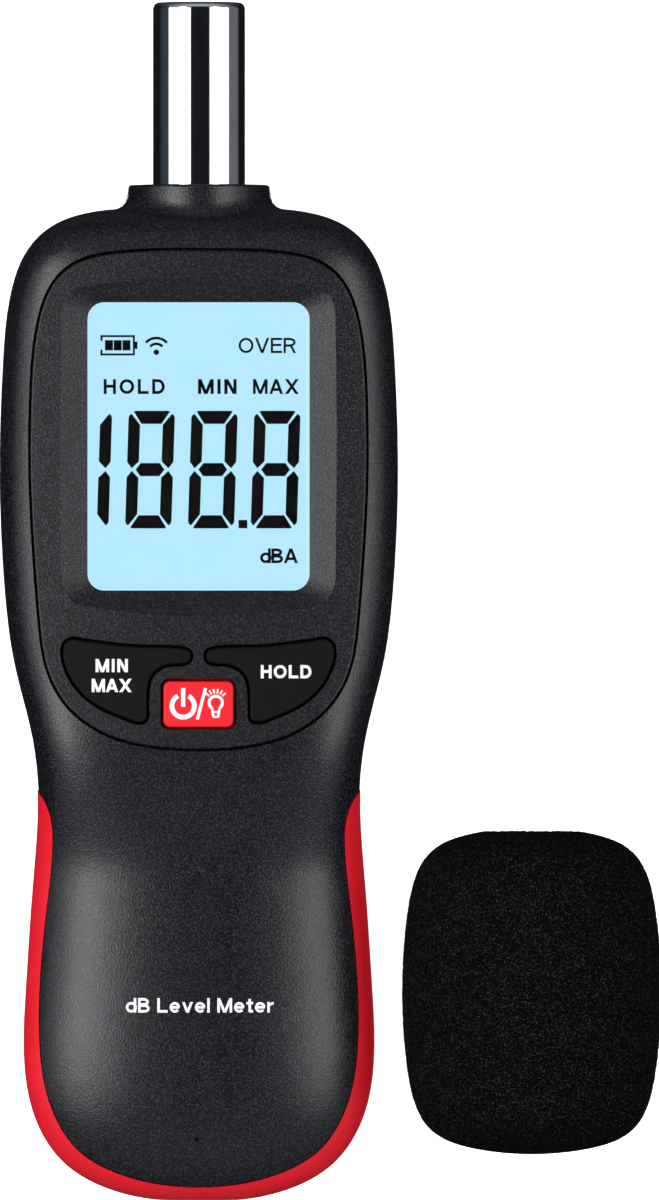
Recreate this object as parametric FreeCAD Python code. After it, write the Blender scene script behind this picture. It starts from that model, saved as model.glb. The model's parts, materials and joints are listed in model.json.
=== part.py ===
"""Handheld sound level meter with its loose foam windscreen, written as one STEP file per piece.

Units are millimetres. The meter lies on its back: +Z points out of the display, +Y runs from the handle
to the microphone, and +X is to the right of the display. The origin is on the flat back, half way along
the case, so that the case alone runs from Y -70 to Y +70.
"""

import FreeCAD, Part
import math
import os

V = FreeCAD.Vector
UP = V(0, 0, 1)
ALONG = V(0, 1, 0)

# --- Driving dimensions -------------------------------------------------------------------------------
CASE_TAIL_Y = -70.0
CASE_HEAD_Y = 67.0
COLLAR_TOP_Y = 70.0
PARTING_Z = 14.0
HEAD_HEIGHT = 14.6
HANDLE_HEIGHT = 11.0
BACK_DEPTH = 14.25
WALL = 2.0
GAP = 0.15
BEYOND = 90.0

# Half outline of the case seen from the front, from the tail to the head, as (x, y).
CASE_HALF_OUTLINE = [
    (5.0, -69.8), (11.4, -68.6), (18.7, -64.5), (22.3, -59.0), (24.0, -50.5), (23.75, -40.5),
    (22.8, -26.5), (22.15, -13.0), (23.2, -5.0), (25.3, 3.5), (26.9, 16.0), (27.45, 31.0), (27.0, 45.5),
    (25.7, 56.0), (23.3, 61.5), (19.5, 64.75), (14.5, 66.3), (9.0, 66.9),
]
CASE_HALF_WIDTH = 27.45
CASE_ROWS = 46
SECTION_POINTS = 33
FINE_STEPS = 360
OFFSET_POINTS = 72
OUTLINE_EDGES = 24

# Cross-sections are superellipses: square-shouldered at the head, crowned at the handle, flat at the back.
HEAD_POWER = 5.0
HANDLE_POWER = 2.4
BACK_POWER = 4.5
TRANSITION_Y = (-27.0, -4.0)
TAIL_ROUND = (24.0, 2.2)
HEAD_ROUND = (8.0, 2.5)
BACK_TAIL_ROUND = (13.0, 2.4)

# Front panel: half outline from its top centre to its bottom centre, and its crowned front face.
PANEL_HALF_OUTLINE = [
    (0.0, 61.0), (7.0, 60.92), (12.6, 60.45), (16.6, 59.35), (19.2, 57.45), (21.0, 54.6), (22.1, 51.0),
    (22.9, 45.2), (23.2, 38.0), (23.25, 31.0), (22.8, 20.5), (21.9, 9.0), (21.1, 4.0), (18.3, -1.6),
    (12.4, -5.9), (6.0, -7.5), (0.0, -7.85),
]
PANEL_Z = (24.6, 28.2)
PANEL_EDGE_ROUND = 0.3
CROWN_RADIUS = 200.0
LEDGE_Z = 23.2
LEDGE_WIDTH = 1.5
LEDGE_WALL = 1.3
HOLLOW_Z = 22.0

# Display window and the funnel around it.
WINDOW_CENTRE_Y = 33.9
WINDOW_SIZE = (30.5, 39.6)
WINDOW_CORNER = 2.3
WINDOW_MARGIN = 1.5
WINDOW_Z = (24.6, 25.6)
TAPE_THICKNESS = 0.2
FUNNEL_SIZE = (37.6, 45.8)
FUNNEL_BULGE = 0.4
FUNNEL_CORNER = 5.5
FUNNEL_TOP = 1.0
FUNNEL_FLOOR_Z = 26.2

# Display: two sheets of glass, light guide, holder and rubber connector.
LCD_WIDTH = 34.4
LCD_Y = (10.6, 56.4)
LCD_LEDGE = 3.2
LCD_FRONT_Z = (23.3, 24.4)
LCD_REAR_Z = (22.1, 23.2)
GUIDE_WIDTH = 33.0
GUIDE_Y = (15.6, 55.6)
GUIDE_Z = (19.8, 22.0)
HOLDER_WALL = 0.8
HOLDER_TOP_Z = 24.2
CONNECTOR_WIDTH = 32.0
CONNECTOR_Y = (11.3, 13.1)
LED_SIZE = (2.8, 1.0, 1.4)
LED_SPREAD = 8.0

# Circuit board and what stands on it.
BOARD_Z = (18.0, 19.6)
BOARD_Y = (-12.0, 57.5)
BOARD_INSET = 0.8
BOARD_BOSS_RADIUS = 1.7
BOARD_SCREWS = [(20.2, 42.0), (20.2, 14.6)]
BOARD_SCREW_RADIUS = 0.8
BOARD_SCREW_HEAD = (1.6, 0.9)
CHIP_THICKNESS = 1.4
PROCESSOR_SIZE = (12.0, 12.0)
AMPLIFIER_SIZE = (5.0, 6.2)
RADIO_SIZE = (13.0, 18.0)
LEG_PITCH = 1.0

# Keys.
KEY_GAP = 0.4
KEY_RISES = {"min_max": 0.2, "hold": 0.2, "power": 0.45}
KEY_ROUND = 0.3
KEY_FLANGE = 0.65
KEY_FLANGE_Z = (23.45, 24.35)
SIDE_KEY_OUTLINE = [
    (-17.0, 7.42), (-12.5, 6.75), (-7.5, 6.32), (-2.3, 6.12), (-1.3, 5.75), (-1.05, 5.1),
    (-1.3, 4.45), (-2.3, 4.08), (-3.9, 4.0), (-5.5, 3.4), (-6.6, 2.25), (-7.0, 0.8), (-7.1, -2.6),
    (-7.3, -3.65), (-8.1, -3.95), (-9.8, -3.48), (-12.4, -2.42), (-14.95, -0.9), (-16.75, 0.9),
    (-18.1, 3.3), (-18.6, 5.6), (-18.2, 6.95),
]
POWER_KEY_CENTRE = (0.0, -1.5)
POWER_KEY_SIZE = (9.6, 6.3)
POWER_KEY_CORNER = 0.9
MAT_THICKNESS = 0.8
MAT_MARGIN = 1.3
DOME_CENTRES = {"min_max": (-12.2, 2.6), "hold": (12.2, 2.6), "power": (0.0, -1.5)}
DOME_BASE_RADIUS = 2.9
DOME_TOP_RADIUS = 1.9
DOME_WALL = 0.45
DOME_GAP = 0.05
PILL_RADIUS = 1.2
PILL_LIFT = 1.05

# Case screws, from the back into the front shell.
CASE_SCREWS = [(15.6, 60.2), (17.4, -5.2)]
FRONT_BOSS_RADIUS = 2.9
REAR_BOSS_RADIUS = 3.6
SCREW_HEAD = (2.3, 1.5)
SCREW_BORE_RADIUS = 2.5
SCREW_RADIUS = 1.2
SCREW_HOLE_SLACK = 0.2
SCREW_SEAT_Z = 5.0
SCREW_TIP_Z = 21.0
CROSS_SLOT = (0.6, 2.8, 0.8)

# Microphone.
COLLAR_RADIUS = 9.75
COLLAR_FILLET = 2.2
COLLAR_EDGE_ROUND = 0.4
COLLAR_INNER_Y = 58.6
BARREL_RADIUS = 6.35
BARREL_WALL = 0.6
BARREL_Y = (60.6, 95.2)
BARREL_SHOULDER_Y = 70.1
BARREL_SHANK_RADIUS = 6.15
BARREL_EDGE_ROUND = 0.9
BARREL_OPENING_RADIUS = 4.9
BARREL_RIM = 0.8
BUSH_RADIUS = 8.4
BUSH_Y = (60.0, 67.4)
LEAD_HOLE_RADIUS = 5.0
CAPSULE_RADIUS = 4.85
CAPSULE_Y = (87.2, 93.4)
CAPSULE_HOLDER_Y = (86.0, 93.2)
FELT_THICKNESS = 0.6
GRILLE_THICKNESS = 0.35
GRILLE_HOLE_RADIUS = 0.42
GRILLE_PITCH = 1.35
GRILLE_FIELD_RADIUS = 4.3
MICROPHONE_LEAD = [
    (1.3, 87.0, 14.0), (1.3, 74.0, 13.9), (1.6, 61.0, 13.4), (2.2, 53.4, 13.5), (2.2, 50.2, 14.7),
    (2.2, 49.2, 16.4), (2.2, 49.2, 18.0),
]
MICROPHONE_LEAD_DIAMETER = 0.9

# Battery bay: three AAA cells side by side.
CELL_RADIUS = 5.25
CELL_BODY = 43.3
CELL_NUB = (1.9, 1.2)
CELL_PITCH = 11.0
CELL_AXIS_Z = 7.2
BAY_HALF_WIDTH = 16.6
BAY_Y = (-62.0, -10.8)
BAY_CEILING_Z = 12.8
BAY_WALL = 1.1
CONTACT_THICKNESS = 0.4
CONTACT_DIMPLE = 0.4
CONTACT_SIZE = (8.0, 8.6)
STRIP_SIZE = (4.0, 0.35)
TAB_WIDTH = 1.8
TAB_LENGTH = 2.4
TAB_Z = 6.2
SPRING_RADIUS = 2.9
SPRING_WIRE = 0.6
SPRING_TURNS = 4
SPRING_STEPS = 16
RED_LEAD = [(-11.0, -8.4, 6.2), (-11.0, -4.0, 6.2), (-10.4, -1.5, 10.2), (-10.4, -1.5, 18.0)]
BLACK_LEAD = [(5.5, -8.4, 12.6), (5.5, -5.2, 12.6), (5.5, -2.9, 14.4), (5.5, -2.9, 18.0)]
BATTERY_LEAD_DIAMETER = 1.1

# Battery cover: slides out at the tail on a tongue along each side.
COVER_HALF_WIDTH = 16.0
COVER_Y = (-64.4, -9.6)
COVER_Z = (0.1, 1.7)
COVER_CLEARANCE = 0.2
COVER_TONGUE = 1.1
COVER_TONGUE_Z = (1.05, 1.7)
COVER_RIBS = 6
COVER_RIB_Y = -21.0
COVER_RIB_PITCH = 1.6
COVER_RIB_SIZE = (12.0, 0.8, 0.45)

# Tripod thread, 1/4 inch, as a plain bore at the thread's outer diameter.
TRIPOD_Y = 24.0
TRIPOD_BORE_RADIUS = 3.175
TRIPOD_BORE_DEPTH = 7.0
TRIPOD_INSERT_RADIUS = 4.6
TRIPOD_INSERT_Z = (0.3, 8.3)
TRIPOD_BOSS_RADIUS = 6.4
TRIPOD_BOSS_Z = 9.6

# Dimple left by the mould's gate near the end of the handle, as (x, y).
GATE_MARK = (-0.2, -61.4)
GATE_MARK_RADIUS = 0.3
GATE_MARK_Z = 22.3

# Grip band: the line on the handle where the red band meets the black front, as half an outline.
BAND_HALF_LINE = [
    (0.0, -68.1), (6.8, -67.45), (11.9, -65.9), (16.3, -63.3), (19.35, -59.3), (21.2, -54.2),
    (22.0, -47.2), (21.9, -40.0), (21.0, -30.0), (20.15, -21.8), (20.35, -17.4), (21.6, -14.3),
    (23.4, -12.5),
]
BAND_DEPTH = 1.1
BAND_PROUD = 0.15
BAND_LOW_Z = 6.0

# Foam windscreen, lying beside the meter with its bore towards the microphone's end.
SCREEN_RADIUS = 17.9
SCREEN_HALF_LENGTH = 22.45
SCREEN_POWER = 3.3
SCREEN_CENTRE = (45.85, -41.1)
SCREEN_BORE_RADIUS = 6.25
SCREEN_BORE_LENGTH = 30.0
SCREEN_POINTS = 16


# --- Helpers ------------------------------------------------------------------------------------------
def mirrored(half):
    """A closed list of (x, y) from a half outline that starts and ends on the centre line."""
    return half + [(-x, y) for x, y in reversed(half[1:-1])]


def both_sides(places):
    """Each (x, y) and its mirror image."""
    return [(side * x, y) for x, y in places for side in (-1, 1)]


def signed_area(points):
    """Positive where the closed list of points runs anticlockwise."""
    return sum(a[0] * b[1] - b[0] * a[1] for a, b in zip(points, points[1:] + points[:1])) / 2


def smooth_face(points, growth=0.0):
    """A flat face at z 0 inside a smooth closed curve through the points, moved outward by growth."""
    curve = Part.BSplineCurve()
    curve.interpolate([V(x, y, 0) for x, y in points], PeriodicFlag=True)
    if growth:
        outward = growth if signed_area(points) > 0 else -growth
        moved = []
        for i in range(OFFSET_POINTS):
            u = curve.FirstParameter + (curve.LastParameter - curve.FirstParameter) * i / OFFSET_POINTS
            tangent = V(*curve.tangent(u)[0])
            moved.append(curve.value(u) + tangent.cross(UP) * outward)
        curve = Part.BSplineCurve()
        curve.interpolate(moved, PeriodicFlag=True)
    low, span = curve.FirstParameter, curve.LastParameter - curve.FirstParameter
    steps = [low + span * i / OUTLINE_EDGES for i in range(OUTLINE_EDGES + 1)]
    return Part.Face(Part.Wire([curve.toShape(a, b) for a, b in zip(steps, steps[1:])]))


def prism(face, low, high):
    """The face extruded from height low to height high."""
    lifted = face.copy()
    lifted.translate(V(0, 0, low))
    return lifted.extrude(V(0, 0, high - low))


def box(x, y, z):
    """A box from three (low, high) pairs."""
    return Part.makeBox(x[1] - x[0], y[1] - y[0], z[1] - z[0], V(x[0], y[0], z[0]))


def slab(half_width, y, z):
    """A box that is centred on x 0."""
    return box((-half_width, half_width), y, z)


def rounded_rect(width, length, corner, centre):
    """A flat face at z 0 with four round corners."""
    block = box((-width / 2, width / 2), (-length / 2, length / 2), (-1, 0))
    block.translate(V(centre[0], centre[1], 0))
    upright = [e for e in block.Edges if e.BoundBox.ZLength > 0.5]
    rounded = block.makeFillet(corner, upright)
    return [f for f in rounded.Faces if f.BoundBox.ZMin > -1e-3][0]


def bowed_rect(width, length, bulge, corner, z, centre_y):
    """A closed wire like a rounded rectangle whose four sides bow outward."""
    half_w, half_l = width / 2 - corner, length / 2 - corner
    diagonal = corner * math.sqrt(0.5)
    edges = []
    for turn in range(4):
        along, across = (half_w, half_l) if turn % 2 == 0 else (half_l, half_w)
        side = [(-along, across + corner), (0, across + corner + bulge), (along, across + corner)]
        bend = [(along, across + corner), (along + diagonal, across + diagonal), (along + corner, across)]
        c, s = math.cos(-math.pi / 2 * turn), math.sin(-math.pi / 2 * turn)
        for arc in (side, bend):
            placed = [V(x * c - y * s, x * s + y * c + centre_y, z) for x, y in arc]
            edges.append(Part.Arc(*placed).toShape())
    return Part.Wire(edges)


def y_cylinder(radius, y, x=0.0, z=PARTING_Z):
    """A cylinder along Y from a (low, high) pair."""
    return Part.makeCylinder(radius, y[1] - y[0], V(x, y[0], z), ALONG)


def z_cylinder(radius, z, x=0.0, y=0.0):
    """A cylinder along Z from a (low, high) pair."""
    return Part.makeCylinder(radius, z[1] - z[0], V(x, y, z[0]), UP)


def under_crown(rise=0.0):
    """The space below the front panel's crowned face, lifted by rise."""
    radius = CROWN_RADIUS + rise
    return y_cylinder(radius, (-BEYOND, BEYOND), z=PANEL_Z[1] - CROWN_RADIUS)


def fused(shapes):
    """One solid from touching shapes."""
    return shapes[0].multiFuse(shapes[1:]).removeSplitter()


def tube(route, diameter):
    """A round cord along straight runs joined by arcs as large as the runs allow."""
    points = [V(*p) for p in route]
    edges = []
    start = points[0]
    for before, corner, after in zip(points, points[1:], points[2:]):
        back, ahead = (before - corner), (after - corner)
        shorter = min(back.Length, ahead.Length)
        back.normalize()
        ahead.normalize()
        half_turn = (math.pi - back.getAngle(ahead)) / 2
        reach = 0.45 * shorter
        radius = reach / math.tan(half_turn)
        print("bend radius", round(radius, 1))
        middle = back + ahead
        middle.normalize()
        depth = radius / math.cos(half_turn) - radius
        leave, arrive = corner + back * reach, corner + ahead * reach
        edges.append(Part.makeLine(start, leave))
        edges.append(Part.Arc(leave, corner + middle * depth, arrive).toShape())
        start = arrive
    edges.append(Part.makeLine(start, points[-1]))
    circle = Part.Wire(Part.makeCircle(diameter / 2, points[0], points[1] - points[0]))
    return Part.Wire(edges).makePipeShell([circle], True, False)


def smoothstep(value, low, high):
    """0 at low, 1 at high, and level at both."""
    t = min(1.0, max(0.0, (value - low) / (high - low)))
    return t * t * (3 - 2 * t)


def end_round(distance, length, power):
    """1 away from an end of the case, falling to 0 at the end itself."""
    u = min(1.0, max(0.0, 1 - distance / length))
    return (1 - u**power) ** (1 / power)


# --- Case form ----------------------------------------------------------------------------------------
def outline_rows():
    """(half width, y) at even steps along the case's half outline."""
    curve = Part.BSplineCurve()
    curve.interpolate([V(x, y, 0) for x, y in CASE_HALF_OUTLINE])
    return [(p.x, p.y) for p in curve.toShape().discretize(CASE_ROWS)]


def front_section(y):
    """(height above the parting plane, superellipse power) of the front half at y."""
    head = smoothstep(y, *TRANSITION_Y)
    height = HANDLE_HEIGHT + (HEAD_HEIGHT - HANDLE_HEIGHT) * head
    power = HANDLE_POWER + (HEAD_POWER - HANDLE_POWER) * head
    ends = end_round(y - CASE_TAIL_Y, *TAIL_ROUND) * end_round(CASE_HEAD_Y - y, *HEAD_ROUND)
    return height * ends, power


def back_section(y):
    """(depth below the parting plane, superellipse power) of the back half at y."""
    ends = end_round(y - CASE_TAIL_Y, *BACK_TAIL_ROUND) * end_round(CASE_HEAD_Y - y, *HEAD_ROUND)
    return BACK_DEPTH * ends, BACK_POWER


def section_points(width, height, power, y, sign):
    """Evenly spaced points of half a superellipse, from the parting plane over the top and back."""
    fine = []
    for i in range(FINE_STEPS + 1):
        angle = math.pi * i / FINE_STEPS
        x = width * math.copysign(abs(math.cos(angle)) ** (2 / power), math.cos(angle))
        z = height * abs(math.sin(angle)) ** (2 / power) if 0 < i < FINE_STEPS else 0.0
        fine.append(V(x, y, PARTING_Z + sign * z))
    return Part.makePolygon(fine).discretize(SECTION_POINTS)


def half_form(section, sign):
    """A closed solid on one side of the parting plane: sign 1 is the front, -1 is the back."""
    grid = [section_points(width, *section(y), y, sign) for width, y in outline_rows()]
    surface = Part.BSplineSurface()
    surface.interpolate(grid)
    skin = surface.toShape()
    ends = [e for e in skin.Edges if e.BoundBox.YLength < 1e-6]
    sides = [e for e in skin.Edges if e.BoundBox.YLength > 1.0]
    chords = [Part.makeLine(e.Vertexes[0].Point, e.Vertexes[-1].Point) for e in ends]
    faces = [skin, Part.Face(Part.Wire(Part.__sortEdges__(sides + chords)))]
    faces += [Part.Face(Part.Wire([e, c])) for e, c in zip(ends, chords)]
    shell = Part.makeShell(faces)
    shell.sewShape()
    solid = Part.Solid(shell)
    solid.fix(1e-4, 1e-4, 1e-4)
    if solid.Volume < 0:
        solid.reverse()
    return solid


def grown(form, height, amount):
    """The half form with its skin moved outward by about amount."""
    half_length = (CASE_HEAD_Y - CASE_TAIL_Y) / 2
    middle = V(0, CASE_HEAD_Y - half_length, PARTING_Z)
    matrix = FreeCAD.Matrix()
    matrix.move(middle * -1)
    matrix.scale(V(1 + amount / CASE_HALF_WIDTH, 1 + amount / half_length, 1 + amount / height))
    matrix.move(middle)
    return form.transformGeometry(matrix)


# --- Shells -------------------------------------------------------------------------------------------
def with_collar(form, sign):
    """The half form joined to its half of the microphone collar with a round corner between them."""
    half_space = box((-BEYOND, BEYOND), (-BEYOND, BEYOND), (0, BEYOND))
    half_space.translate(V(0, 0, PARTING_Z if sign > 0 else PARTING_Z - BEYOND))
    collar = y_cylinder(COLLAR_RADIUS, (CASE_HEAD_Y - 11, COLLAR_TOP_Y)).common(half_space)
    joined = form.fuse(collar)
    corner = [
        e
        for e in joined.Edges
        if e.BoundBox.YMin > 60 and e.BoundBox.YMax < 68 and e.BoundBox.ZLength > 5
    ]
    joined = joined.makeFillet(COLLAR_FILLET, corner)
    rim = [e for e in joined.Edges if e.BoundBox.YMin > COLLAR_TOP_Y - 0.01 and e.BoundBox.ZLength > 5]
    return joined.makeFillet(COLLAR_EDGE_ROUND, rim)


def cavity(form, height):
    """The hollow inside a half form, kept clear of the microphone's seat."""
    seat = y_cylinder(COLLAR_RADIUS, (COLLAR_INNER_Y, COLLAR_TOP_Y))
    return grown(form, height, -WALL).cut(seat)


def microphone_seat():
    """The space that the microphone's barrel, bush and leads take in the two shells."""
    mouth = y_cylinder(BARREL_SHANK_RADIUS + GAP, (BUSH_Y[1] - 0.1, BEYOND))
    pocket = y_cylinder(BUSH_RADIUS, BUSH_Y)
    lead_hole = y_cylinder(LEAD_HOLE_RADIUS, (COLLAR_INNER_Y - 3, BUSH_Y[0] + 0.1))
    return mouth.fuse(pocket).fuse(lead_hole)


def panel_face(growth):
    """The front panel's outline as a flat face, moved outward by growth."""
    return smooth_face(mirrored(PANEL_HALF_OUTLINE), growth)


def band_region():
    """The space outside the band's line, round the sides and the tail of the handle."""
    line = Part.BSplineCurve()
    left = [(-x, y) for x, y in reversed(BAND_HALF_LINE[1:])]
    line.interpolate([V(x, y, 0) for x, y in left + BAND_HALF_LINE])
    top_y = BAND_HALF_LINE[-1][1]
    side_x = BAND_HALF_LINE[-1][0]
    corners = [V(side_x, top_y, 0), V(40, top_y, 0), V(40, -80, 0), V(-40, -80, 0), V(-40, top_y, 0)]
    frame = Part.makePolygon(corners + [V(-side_x, top_y, 0)])
    return prism(Part.Face(Part.Wire([line.toShape()] + frame.Edges)), BAND_LOW_Z, 40)


def front_shell(form, region):
    outer = with_collar(form, 1)
    shell = outer.cut(cavity(form, HEAD_HEIGHT))
    ledge = prism(panel_face(LEDGE_WALL), LEDGE_Z, 40)
    supports = [ledge]
    for x, y in both_sides(CASE_SCREWS):
        supports.append(z_cylinder(FRONT_BOSS_RADIUS, (PARTING_Z, 40), x, y))
    for x, y in both_sides(BOARD_SCREWS):
        supports.append(z_cylinder(BOARD_BOSS_RADIUS, (BOARD_Z[1], 40), x, y))
        reach = sorted((x, math.copysign(CASE_HALF_WIDTH, x)))
        supports.append(box(reach, (y - 0.7, y + 0.7), (BOARD_Z[1], 40)))
    shell = fused([shell] + [s.common(form) for s in supports])
    shell = shell.cut(prism(panel_face(-LEDGE_WIDTH), HOLLOW_Z, 40))
    shell = shell.cut(prism(panel_face(GAP), PANEL_Z[0], 40))
    for x, y in both_sides(BOARD_SCREWS):
        boss = z_cylinder(BOARD_BOSS_RADIUS, (BOARD_Z[1], LEDGE_Z), x, y)
        shell = shell.fuse(boss).cut(z_cylinder(BOARD_SCREW_RADIUS, (BOARD_Z[0], LEDGE_Z - 0.6), x, y))
    for x, y in both_sides(CASE_SCREWS):
        shell = shell.cut(z_cylinder(SCREW_RADIUS + 0.05, (0, SCREW_TIP_Z + 0.3), x, y))
    shell = shell.cut(microphone_seat()).cut(z_cylinder(GATE_MARK_RADIUS, (GATE_MARK_Z, 40), *GATE_MARK))
    return shell.cut(region.cut(grown(form, HEAD_HEIGHT, -BAND_DEPTH)))


def battery_bay():
    """The walls and ceiling of the battery bay, before its hollow is cut."""
    y = (BAY_Y[0] - BAY_WALL, BAY_Y[1] + BAY_WALL)
    return slab(BAY_HALF_WIDTH + BAY_WALL, y, (0, PARTING_Z))


def cover_slot():
    """The space in the back wall that the battery cover slides through, open at the tail."""
    y = (-BEYOND, COVER_Y[1] + COVER_CLEARANCE)
    top = COVER_Z[1] + COVER_CLEARANCE
    opening = slab(COVER_HALF_WIDTH + COVER_CLEARANCE, y, (-5, top))
    groove_half = COVER_HALF_WIDTH + COVER_TONGUE + COVER_CLEARANCE
    return opening.fuse(slab(groove_half, y, (COVER_TONGUE_Z[0] - COVER_CLEARANCE, top)))


def rear_shell(form, region):
    outer = with_collar(form, -1)
    shell = outer.cut(cavity(form, BACK_DEPTH))
    supports = [battery_bay(), z_cylinder(TRIPOD_BOSS_RADIUS, (0, TRIPOD_BOSS_Z), 0, TRIPOD_Y)]
    for x, y in both_sides(CASE_SCREWS):
        supports.append(z_cylinder(REAR_BOSS_RADIUS, (0, PARTING_Z), x, y))
    shell = fused([shell] + [s.common(form) for s in supports])
    shell = shell.cut(slab(BAY_HALF_WIDTH, BAY_Y, (COVER_Z[1], BAY_CEILING_Z))).cut(cover_slot())
    for tab in contact_tabs():
        shell = shell.cut(tab)
    for x, y in both_sides(CASE_SCREWS):
        shell = shell.cut(z_cylinder(SCREW_BORE_RADIUS, (-5, SCREW_SEAT_Z), x, y))
        shell = shell.cut(z_cylinder(SCREW_RADIUS + SCREW_HOLE_SLACK, (0, BEYOND), x, y))
    shell = shell.cut(z_cylinder(TRIPOD_INSERT_RADIUS, (-5, TRIPOD_INSERT_Z[1]), 0, TRIPOD_Y))
    shell = shell.cut(microphone_seat())
    shell = shell.cut(region.cut(grown(form, BACK_DEPTH, -BAND_DEPTH)))
    return shell.common(box((-BEYOND, BEYOND), (-BEYOND, BEYOND), (0, BEYOND)))


def grip_band(form, height, region):
    """The soft band moulded into one shell, standing slightly proud of it."""
    outer = grown(form, height, BAND_PROUD).common(region)
    return outer.cut(grown(form, height, -BAND_DEPTH))


# --- Front panel and keys -----------------------------------------------------------------------------
def key_face(name, growth=0.0):
    """A key's outline as a flat face, moved outward by growth."""
    if name == "power":
        width, length = [side + 2 * growth for side in POWER_KEY_SIZE]
        return rounded_rect(width, length, POWER_KEY_CORNER + growth, POWER_KEY_CENTRE)
    side = 1 if name == "min_max" else -1
    return smooth_face([(side * x, y) for x, y in SIDE_KEY_OUTLINE], growth)


def display_funnel():
    """The space in front of the window: a shallow funnel whose sides slope in to the window."""
    rise = PANEL_Z[1] - FUNNEL_FLOOR_Z
    crown_drop = CROWN_RADIUS - math.sqrt(CROWN_RADIUS**2 - (FUNNEL_SIZE[0] / 2) ** 2)
    wide = []
    for size, window, depth in zip(FUNNEL_SIZE, WINDOW_SIZE, (rise - crown_drop, rise)):
        wide.append(window + (size - window) * (rise + FUNNEL_TOP) / depth)
    low = bowed_rect(*WINDOW_SIZE, 0.02, WINDOW_CORNER, FUNNEL_FLOOR_Z, WINDOW_CENTRE_Y)
    bulge = FUNNEL_BULGE * (rise + FUNNEL_TOP) / rise
    high = bowed_rect(*wide, bulge, FUNNEL_CORNER, PANEL_Z[1] + FUNNEL_TOP, WINDOW_CENTRE_Y)
    return Part.makeLoft([low, high], True, True)


def front_panel():
    panel = prism(panel_face(-GAP), PANEL_Z[0], PANEL_Z[1] + 2).common(under_crown())
    rim = [e for e in panel.Edges if e.BoundBox.ZMax > PANEL_Z[0] + 1 and e.BoundBox.ZMin > PANEL_Z[0] + 0.1]
    panel = panel.makeFillet(PANEL_EDGE_ROUND, rim)
    opening = rounded_rect(*WINDOW_SIZE, WINDOW_CORNER, (0, WINDOW_CENTRE_Y))
    pocket_size = [side + 2 * WINDOW_MARGIN + 2 * GAP for side in WINDOW_SIZE]
    pocket = rounded_rect(*pocket_size, WINDOW_CORNER + WINDOW_MARGIN, (0, WINDOW_CENTRE_Y))
    panel = panel.cut(prism(opening, 20, 40)).cut(display_funnel())
    panel = panel.cut(prism(pocket, 20, WINDOW_Z[1] + TAPE_THICKNESS))
    for name in KEY_RISES:
        panel = panel.cut(prism(key_face(name, KEY_GAP), 20, 40))
    return panel


def key_button(name):
    """One key: a crowned cap with a flange under the panel."""
    cap = prism(key_face(name), KEY_FLANGE_Z[0], PANEL_Z[1] + 2).common(under_crown(KEY_RISES[name]))
    rim = [e for e in cap.Edges if e.BoundBox.ZMin > KEY_FLANGE_Z[1] and e.BoundBox.ZLength < 2.5]
    cap = cap.makeFillet(KEY_ROUND, rim)
    return cap.fuse(prism(key_face(name, KEY_FLANGE), *KEY_FLANGE_Z))


def dome(x, y):
    """A hollow silicone dome between the mat and its key."""
    low, high = BOARD_Z[1] + MAT_THICKNESS, KEY_FLANGE_Z[0] - DOME_GAP
    outer = Part.makeCone(DOME_BASE_RADIUS, DOME_TOP_RADIUS, high - low, V(x, y, low), UP)
    inner_height = high - low - DOME_WALL
    inner = Part.makeCone(
        DOME_BASE_RADIUS - DOME_WALL, DOME_TOP_RADIUS - DOME_WALL, inner_height, V(x, y, low), UP
    )
    return outer.cut(inner)


def pill(x, y):
    """The plunger under a key, with the carbon pill that closes the contact."""
    top = KEY_FLANGE_Z[0] - DOME_WALL - 2 * DOME_GAP
    return z_cylinder(PILL_RADIUS, (BOARD_Z[1] + PILL_LIFT, top), x, y)


def keypad_mat():
    """The silicone sheet that carries the domes."""
    xs = [x for x, _ in DOME_CENTRES.values()]
    ys = [y for _, y in DOME_CENTRES.values()]
    reach = DOME_BASE_RADIUS + MAT_MARGIN
    width, length = max(xs) - min(xs) + 2 * reach, max(ys) - min(ys) + 2 * reach
    centre = (0, (max(ys) + min(ys)) / 2)
    top = BOARD_Z[1] + MAT_THICKNESS
    mat = prism(rounded_rect(width, length, reach / 2, centre), BOARD_Z[1], top)
    for x, y in DOME_CENTRES.values():
        mat = mat.cut(z_cylinder(DOME_BASE_RADIUS - DOME_WALL, (0, 40), x, y))
    for x, y in both_sides(CASE_SCREWS):
        mat = mat.cut(z_cylinder(FRONT_BOSS_RADIUS + GAP, (0, 40), x, y))
    return mat


# --- Display ------------------------------------------------------------------------------------------
def display_window():
    size = [side + 2 * WINDOW_MARGIN for side in WINDOW_SIZE]
    return prism(rounded_rect(*size, WINDOW_CORNER + WINDOW_MARGIN, (0, WINDOW_CENTRE_Y)), *WINDOW_Z)


def window_tape():
    size = [side + 2 * WINDOW_MARGIN for side in WINDOW_SIZE]
    centre = (0, WINDOW_CENTRE_Y)
    z = (WINDOW_Z[1], WINDOW_Z[1] + TAPE_THICKNESS)
    sheet = prism(rounded_rect(*size, WINDOW_CORNER + WINDOW_MARGIN, centre), *z)
    return sheet.cut(prism(rounded_rect(*WINDOW_SIZE, WINDOW_CORNER, centre), 20, 40))


def lcd_front_glass():
    return slab(LCD_WIDTH / 2, LCD_Y, LCD_FRONT_Z)


def lcd_rear_glass():
    return slab(LCD_WIDTH / 2, (LCD_Y[0] + LCD_LEDGE, LCD_Y[1]), LCD_REAR_Z)


def backlight_guide():
    return slab(GUIDE_WIDTH / 2, GUIDE_Y, GUIDE_Z)


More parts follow.
